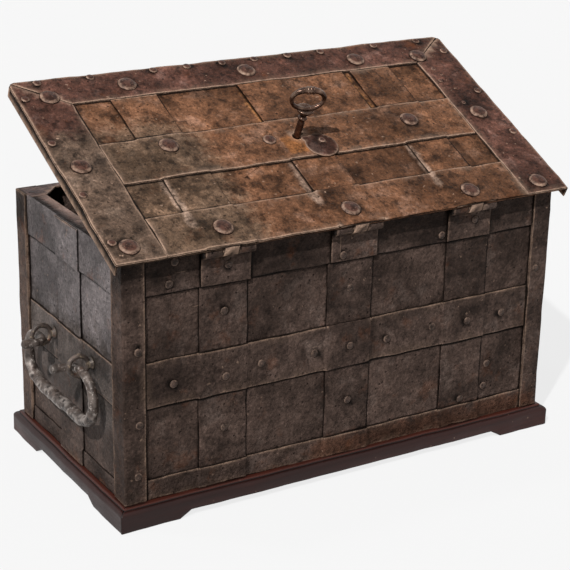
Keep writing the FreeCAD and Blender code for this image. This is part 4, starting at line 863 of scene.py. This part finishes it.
def turned_key(material):
    """The key: its CAD shank and bit below, and a collar, a flared cup and an oval reeded bow above."""
    place = LID_BACK @ Matrix.Translation(KEY_BASE) @ Matrix.Rotation(-KEY_TURNED, 4, "Z")
    bm = merged_copy("key")
    bm.transform(place.inverted())
    bmesh.ops.bisect_plane(bm, geom=bm.verts[:] + bm.edges[:] + bm.faces[:], dist=MERGE_DISTANCE,
                           plane_co=(0, 0, KEY_CUT * MILLIMETRE), plane_no=(0, 0, 1), clear_outer=True)
    bmesh.ops.holes_fill(bm, edges=[e for e in bm.edges if e.is_boundary])
    outline = [bm.verts.new((radius * MILLIMETRE, 0, height * MILLIMETRE)) for radius, height in KEY_OUTLINE]
    edges = [bm.edges.new(pair) for pair in zip(outline, outline[1:])]
    bmesh.ops.spin(bm, geom=outline + edges, cent=(0, 0, 0), axis=(0, 0, 1), angle=math.tau, steps=48,
                   use_merge=True, use_normal_flip=False)
    bmesh.ops.remove_doubles(bm, verts=bm.verts, dist=ROUND_MERGE)
    bmesh.ops.holes_fill(bm, edges=[e for e in bm.edges if e.is_boundary])
    left = [(-across, up, radius) for across, up, radius in reversed(BOW_STATIONS[1:-1])]
    stations = [(Vector((across, 0, up + BOW_CENTRE)) * MILLIMETRE, radius)
                for across, up, radius in (*BOW_STATIONS, *left)]
    parts = [rod_mesh(stations, 10, cyclic=True, steps=8)]
    for along in REED_PLACES:
        ring = bmesh.new()
        made = bmesh.ops.create_circle(ring, segments=16, radius=REED_RADIUS)
        top = (BOW_CENTRE + BOW_STATIONS[0][1] - abs(along) * REED_SINK) * MILLIMETRE
        bmesh.ops.translate(ring, verts=made["verts"], vec=(along * MILLIMETRE, REED_OUT, 0))
        bmesh.ops.spin(ring, geom=ring.verts[:] + ring.edges[:], cent=(0, 0, 0), axis=(1, 0, 0), angle=math.tau,
                       steps=32, use_merge=True)
        bmesh.ops.remove_doubles(ring, verts=ring.verts, dist=ROUND_MERGE)
        bmesh.ops.translate(ring, verts=ring.verts, vec=(0, 0, top))
        parts.append(ring)
    for part in parts:
        bmesh.ops.recalc_face_normals(part, faces=part.faces)
        mesh = mesh_of("part", part)
        bm.from_mesh(mesh)
        bpy.data.meshes.remove(mesh)
    bmesh.ops.recalc_face_normals(bm, faces=bm.faces)
    bm.normal_update()
    solid = neighbours_tree("lid")
    wear_and_highlight, painted_shade = [], []
    for vert in bm.verts:
        # Painted highlight spots above the cut, and painted shade where the key meets the lid
        wear_and_highlight.append(max(0.0, swell(vert.co, 0.009) * 1.4) if vert.co.z / MILLIMETRE > KEY_CUT else 0.0)
        painted_shade.append(corner_shade(place @ vert.co, place.to_3x3() @ vert.normal, solid, 0.004))
        vert.co += vert.normal * swell(vert.co, 0.005) * 0.00015
    bm.transform(place)
    return placed("turning_key", bm, material, "key", {"wear_and_highlight": wear_and_highlight, "painted_shade": painted_shade})


# Operators

class CHEST_OT_plinth(bpy.types.Operator):
    """Dresses the four mitred plinth boards"""

    bl_idname = "chest.plinth"
    bl_label = "Plinth"

    def execute(self, context):
        wood = plinth_paint("plinth_wood_finish")
        for i, side in enumerate(("rear", "front", "left", "right")):
            worked(f"{side}_plinth_board", f"plinth_{side}_board", wood, deep=0.5, waver=0.8,
                   round_by=1.8, seed=i * 3.0)
        return {"FINISHED"}


class CHEST_OT_walls(bpy.types.Operator):
    """Dresses the wall sheets, the floor and the rims"""

    bl_idname = "chest.walls"
    bl_label = "Walls and rims"

    def execute(self, context):
        tones = colours()
        sheet = iron("wall_sheet_finish", tones.sheet_iron, rust=0.12, gloss=0.4, mottle=0.55)
        end = iron("end_sheet_finish", tones.end_iron, rust=0.12, gloss=0.5, shift=4.0, patches=end_sheen_patches(),
                   mottle=0.3)
        rim = iron("rim_finish", tones.rim_iron, rust=0.3, gloss=0.5, shift=9.0)
        beside = {"rear": ("rear_straps", "rear_bands"), "front": ("front_straps", "front_bands"),
                  "left": ("left_bands",), "right": ("right_bands",)}
        for i, (side, seams) in enumerate(beside.items()):
            worked(f"{side}_wall", f"wall_{side}", end if side in ("left", "right") else sheet,
                   seams=seams, seed=i + 1.0, waver=0.3, deep=2.0)
            worked(f"{side}_rim", f"rim_{side}", rim, deep=0.6, seed=i + 7.0, waver=0.5)
        worked("chest_floor", "floor_sheet", sheet, step=COARSE_STEP, seed=11.0, waver=0.2)
        return {"FINISHED"}


class CHEST_OT_ironwork(bpy.types.Operator):
    """Dresses the corner irons, the straps and the bands"""

    bl_idname = "chest.ironwork"
    bl_label = "Straps, bands and corner irons"

    def execute(self, context):
        tones = colours()
        # Painted shadow of the lid's overhang over the upper part of the straps, bands and corner irons
        painted_lid_shadow = ((None, None, 0.285), (None, None, 0.40), 0.012, shade(tones.side_iron, 0.4), 0.7)
        rusty = ((-0.05, None, -0.1), (0.30, None, 0.052), 0.02, shade(tones.rust, 0.4), 0.4)
        plate = iron("strap_finish", tones.side_iron, rust=0.15, shift=15.0, patches=(painted_lid_shadow, rusty), mottle=0.55)
        ends = iron("end_plate_finish", tones.end_iron, rust=0.25, gloss=0.5, shift=19.0, patches=end_sheen_patches(),
                    mottle=0.35)
        for side in ("rear", "front"):
            for kind, cad, crossed, seed in (("upright_straps", "straps", "bands", 21.0),
                                             ("level_bands", "bands", "straps", 24.0)):
                worked(f"{side}_{kind}", f"{side}_{cad}", plate, seams=(f"{side}_{crossed}",),
                       seed=seed, deep=1.7)
            for end, seed in (("left", 31.0), ("right", 33.0)):
                worked(f"{side}_{end}_corner_iron", f"corner_iron_{side}_{end}", plate, seed=seed)
        for side in ("left", "right"):
            worked(f"{side}_end_bands", f"{side}_bands", ends, seed=27.0)
        return {"FINISHED"}


class CHEST_OT_hinges(bpy.types.Operator):
    """Dresses the hinge leaves and their pins"""

    bl_idname = "chest.hinges"
    bl_label = "Hinges"

    def execute(self, context):
        tones = colours()
        leaf = iron("hinge_finish", shade(tones.side_iron, 0.9), rust=0.2, wear_and_highlight=0.35, gloss=0.55,
                    patches=knuckle_shade_lines(), shift=41.0, highlight_halo=0.0, mottle=0.4)
        pin = rivet_iron("hinge_pin_finish", tones.side_iron, shift=43.0)
        worked("hinge_leaf_plates", "hinge_leaves", leaf, deep=0.5, waver=0.4, curved=True, seed=41.0)
        rivet_heads("hinge_pin_rods", "hinge_pins", pin, dent=0.0001, seed=42.0)
        return {"FINISHED"}


class CHEST_OT_rivets(bpy.types.Operator):
    """Dresses the rivets of the walls and of the lid"""

    bl_idname = "chest.rivets"
    bl_label = "Rivets"

    def execute(self, context):
        tones = colours()
        wall = rivet_iron("wall_rivet_finish", tones.side_iron, shift=51.0, ring=0.25)
        lid = rivet_iron("lid_rivet_finish", shade(tones.lid_border, 0.85), flat=True, shift=53.0, ring=0.7)
        rivet_heads("wall_rivet_heads", "wall_rivets", wall, dent=0.0005, seed=51.0, spread=1.12,
                    rise=0.75)
        rivet_heads("lid_dome_heads", "lid_dome_rivets", lid, dent=0.0008, seed=52.0, spread=1.28,
                    rise=0.72)
        rivet_heads("lid_edge_heads", "lid_edge_rivets", lid, dent=0.0004, seed=53.0, spread=1.1,
                    rise=0.8)
        return {"FINISHED"}


class CHEST_OT_handles(bpy.types.Operator):
    """Dresses the drop handles and their eyes"""

    bl_idname = "chest.handles"
    bl_label = "Handles"

    def execute(self, context):
        tones = colours()
        steel = forged_steel("handle_finish", tones.handle_steel, HANDLE_SHEEN, pitting=0.9, rust=0.15, gloss=0.5,
                             shift=61.0)
        eye = forged_steel("handle_eye_finish", tones.handle_steel, EYE_SHEEN, pitting=0.5, rust=0.7, gloss=0.4,
                           shift=63.0)
        for i, side in enumerate(("left", "right")):
            drop_handle(side, steel, 61.0 + i)
            forged_round(f"{side}_handle_loops", f"{side}_handle_eyes", eye, rough=0.0003,
                         pitch=0.006, seed=63.0 + i)
        return {"FINISHED"}


class CHEST_OT_lid(bpy.types.Operator):
    """Dresses the lid's sheet, borders, bands and straps"""

    bl_idname = "chest.lid"
    bl_label = "Lid"

    def execute(self, context):
        tones = colours()
        dusty = ((-0.40, -0.1, None), (-0.12, 0.22, None), 0.05, OLIVE_DUST, 0.55)
        rusty = ((-0.03, 0.18, None), (0.135, 0.265, None), 0.010, PLATE_RUST, 0.95)
        # A darker patch on the lid's right, not far from the hinges
        dark_patch = ((0.13, 0.055, None), (0.215, 0.11, None), 0.006, shade(tones.lid_iron, 0.35), 0.8)
        # Painted highlights: pale streaks along the straps' left edges
        highlight_streaks = [((x - 0.005, 0.03, None), (x + 0.004, 0.12, None), 0.009, HIGHLIGHT_STREAK_TAN, 0.6)
                   for x in HIGHLIGHT_STREAK_PLACES]
        keyhole = ((-0.024, 0.126, None), (0.004, 0.158, None), 0.006, KEYHOLE_RUST, 0.8)
        barrel = ((None, -0.1, None), (None, 0.0034, None), 0.0008, shade(tones.side_iron, 1.15), 1.0)
        shared = {"flat": True, "gloss": 0.55}
        sheet = iron("lid_sheet_finish", tones.lid_iron, rust=0.2, shift=71.0,
                     patches=(dusty, rusty, dark_patch, *highlight_streaks), chips=0.5, highlight_halo=0.0, **shared)
        border = iron("lid_border_finish", tones.lid_border, rust=0.3, shift=73.0, chips=0.6, **shared)
        left = iron("lid_left_border_finish", shade(tones.lid_border, 0.9), rust=0.15, shift=75.0,
                    patches=(dusty,), chips=0.8, **shared)
        band = iron("lid_band_finish", shade(tones.lid_iron, 0.92), rust=0.18, shift=76.0,
                    patches=(dusty, *highlight_streaks, keyhole), chips=0.6, highlight_halo=0.5, **shared)
        strap = iron("lid_strap_finish", shade(tones.lid_iron, 1.02), rust=0.18, shift=77.0,
                     patches=(dusty, *highlight_streaks, barrel), chips=0.6, highlight_halo=0.5, **shared)
        plates = {"front_border": border, "left_border": left, "right_border": border, "rear_band": band,
                  "middle_band": band, "strap_left": strap, "strap_centre": strap, "strap_right": strap}
        worked("lid_top_sheet", "lid_sheet", sheet, seams=[f"lid_{plate}" for plate in plates],
               seed=71.0, waver=0.3)
        for i, (plate, finish) in enumerate(plates.items()):
            worked(f"{plate}_plate", f"lid_{plate}", finish,
                   seams=[f"lid_{other}" for other in plates if other != plate], seed=73.0 + i, round_by=1.3,
                   wear_and_highlight_by=1.8)
        return {"FINISHED"}


class CHEST_OT_lock(bpy.types.Operator):
    """Dresses the lock under the lid"""

    bl_idname = "chest.lock"
    bl_label = "Lock"

    def execute(self, context):
        steel = filed_steel("lock_steel_finish")
        for cad in ("lock_base_plate", "bolt_guides", "hub_bridge", "bolt_springs", "lock_hub", "left_drawbar",
                    "right_drawbar", "front_centre_bolt", "front_left_bolt", "front_right_bolt", "left_lever",
                    "right_lever"):
            worked(f"{cad}_steel", cad, steel, step=COARSE_STEP, deep=0.15, waver=0.0,
                   round_by=0.5, curved=cad == "lock_hub")
        return {"FINISHED"}


class CHEST_OT_key(bpy.types.Operator):
    """Dresses the key and the keyhole cover"""

    bl_idname = "chest.key"
    bl_label = "Key and keyhole cover"

    def execute(self, context):
        tones = colours()
        steel = forged_steel("key_finish", tones.key_steel, shade(tones.worn_and_lit_iron, 0.9), pitting=0.15, rust=0.06,
                             gloss=0.9, shift=81.0, metal=0.85, mottle=0.25)
        plate = iron("keyhole_cover_finish", shade(tones.lid_border, 0.6), flat=True, rust=0.1, wear_and_highlight=0.6, gloss=0.3,
                     highlight_halo=0.0, shift=83.0)
        head = rivet_iron("cover_rivet_finish", tones.lid_border, flat=True, shift=85.0)
        turned_key(steel)
        worked("pear_keyhole_cover", "keyhole_cover", plate, step=0.004, deep=0.3, waver=0.15,
               round_by=0.4, seed=83.0)
        rivet_heads("cover_rivet_head", "keyhole_cover_rivet", head, dent=0.0003, seed=85.0)
        return {"FINISHED"}


# Studio

CAMERA_AZIMUTH = math.radians(-31.3714)
CAMERA_HEIGHT = math.radians(20.4089)
CAMERA_ROLL = math.radians(1.194)
CAMERA_DISTANCE = 1.91306
CAMERA_TARGET = Vector((-0.09180, -0.150, 0.26351))
CAMERA_LENS = 104.36
SENSOR_WIDTH = 36.0
# Where each sun stands, its strength, and how wide it looks in degrees
SUNS = {
    "key_light": {"toward": (-0.55, -0.43, 0.72), "strength": 3.6, "soft": 1.4},
    "top_light": {"toward": (-0.37, 0.33, 0.86), "strength": 0.25, "soft": 7.0},
}
# The surround's light on the chest, and the share of white in the floor as it is seen
WORLD_STRENGTH = 0.18
FLOOR_GLOW = 0.8
FLOOR_RADIUS = 9.0


def studio_camera():
    """The camera at the photograph's view."""
    back = Vector((math.sin(CAMERA_AZIMUTH) * math.cos(CAMERA_HEIGHT),
                   -math.cos(CAMERA_AZIMUTH) * math.cos(CAMERA_HEIGHT), math.sin(CAMERA_HEIGHT)))
    right = (-back).cross(Vector((0, 0, 1))).normalized()
    up = right.cross(-back)
    across = right * math.cos(CAMERA_ROLL) + up * math.sin(CAMERA_ROLL)
    above = up * math.cos(CAMERA_ROLL) - right * math.sin(CAMERA_ROLL)
    data = bpy.data.cameras.new("camera")
    data.lens = CAMERA_LENS
    data.sensor_fit = "HORIZONTAL"
    data.sensor_width = SENSOR_WIDTH
    camera = added("camera", data)
    turn = Matrix((across, above, back)).transposed()
    camera.matrix_world = Matrix.Translation(CAMERA_TARGET + back * CAMERA_DISTANCE) @ turn.to_4x4()
    bpy.context.scene.camera = camera


def seen(tree):
    """One for rays from the camera and from metal and glass, and nothing for the light that falls on the chest."""
    camera, glossy, through = (node(tree, "LightPath", output=f"Is {kind} Ray")
                               for kind in ("Camera", "Glossy", "Transmission"))
    return (camera + glossy + through).clamped()


def studio_floor():
    """A wide pale floor that looks nearly white and still holds the chest's shadow."""
    finish = Finish("floor_finish")
    tint = colours().floor
    finish.base = finish.mix(finish.noise(0.6, 2.0, 0.5) * 0.2, tint, shade(tint, 0.98))
    material = finish.done(0.9, 0.0, None, 0.1)
    tree = material.node_tree
    ground = Signal(tree, tree.nodes["Principled BSDF"].outputs[0])
    white = node(tree, "Emission", {}, {"Color": WHITE, "Strength": 1.0})
    shown = node(tree, "MixShader", {}, {0: seen(tree) * FLOOR_GLOW, 1: ground, 2: white})
    tree.links.new(shown.socket, tree.nodes["Material Output"].inputs["Surface"])
    bm = bmesh.new()
    bmesh.ops.create_circle(bm, cap_ends=True, segments=96, radius=FLOOR_RADIUS)
    floor = added("floor", mesh_of("floor", bm))
    floor.data.materials.append(material)


def studio_world():
    """A white surround for the eye and for reflections, and a softer one for the light it gives."""
    world = bpy.data.worlds.new("studio")
    world.use_nodes = True
    tree = world.node_tree
    tree.nodes.clear()
    strength = WORLD_STRENGTH + seen(tree) * (1.0 - WORLD_STRENGTH)
    light = node(tree, "Background", {}, {"Color": WHITE, "Strength": strength})
    output = tree.nodes.new("ShaderNodeOutputWorld")
    tree.links.new(light.socket, output.inputs["Surface"])
    bpy.context.scene.world = world


class CHEST_OT_stage(bpy.types.Operator):
    """Sets the floor, the lamps, the surround and the camera"""

    bl_idname = "chest.stage"
    bl_label = "Stage"

    def execute(self, context):
        studio_camera()
        studio_floor()
        studio_world()
        for name, sun in SUNS.items():
            data = bpy.data.lights.new(name, "SUN")
            data.energy = sun["strength"]
            data.angle = math.radians(sun["soft"])
            lamp = added(name, data)
            lamp.matrix_world = Vector(sun["toward"]).to_track_quat("Z", "Y").to_matrix().to_4x4()
        context.scene.view_settings.view_transform = "Standard"
        return {"FINISHED"}


class CHEST_PT_panel(bpy.types.Panel):
    """Lists the steps that dress the chest"""

    bl_idname = "CHEST_PT_panel"
    bl_label = "Armada chest"
    bl_space_type = "VIEW_3D"
    bl_region_type = "UI"
    bl_category = "Chest"

    def draw(self, context):
        """Lists the settings and the steps."""
        for group in (context.scene.chest_sizes, context.scene.chest_colours):
            box = self.layout.box()
            for key in group.__annotations__:
                box.prop(group, key)
        for step in STEPS:
            self.layout.operator(step.bl_idname)


STEPS = (CHEST_OT_plinth, CHEST_OT_walls, CHEST_OT_ironwork, CHEST_OT_hinges, CHEST_OT_rivets, CHEST_OT_handles,
         CHEST_OT_lid, CHEST_OT_lock, CHEST_OT_key, CHEST_OT_stage)
CLASSES = (ChestSizes, ChestColours, *STEPS, CHEST_PT_panel)


def register():
    """Registers the settings, the steps and the panel."""
    for made in CLASSES:
        bpy.utils.register_class(made)
    bpy.types.Scene.chest_sizes = bpy.props.PointerProperty(type=ChestSizes)
    bpy.types.Scene.chest_colours = bpy.props.PointerProperty(type=ChestColours)


def unregister():
    """Takes the settings, the steps and the panel away."""
    del bpy.types.Scene.chest_colours
    del bpy.types.Scene.chest_sizes
    for made in reversed(CLASSES):
        bpy.utils.unregister_class(made)


def main():
    """Dresses the chest."""
    register()
    for step in STEPS:
        group, name = step.bl_idname.split(".")
        getattr(getattr(bpy.ops, group), name)()


if __name__ == "__main__":
    main()
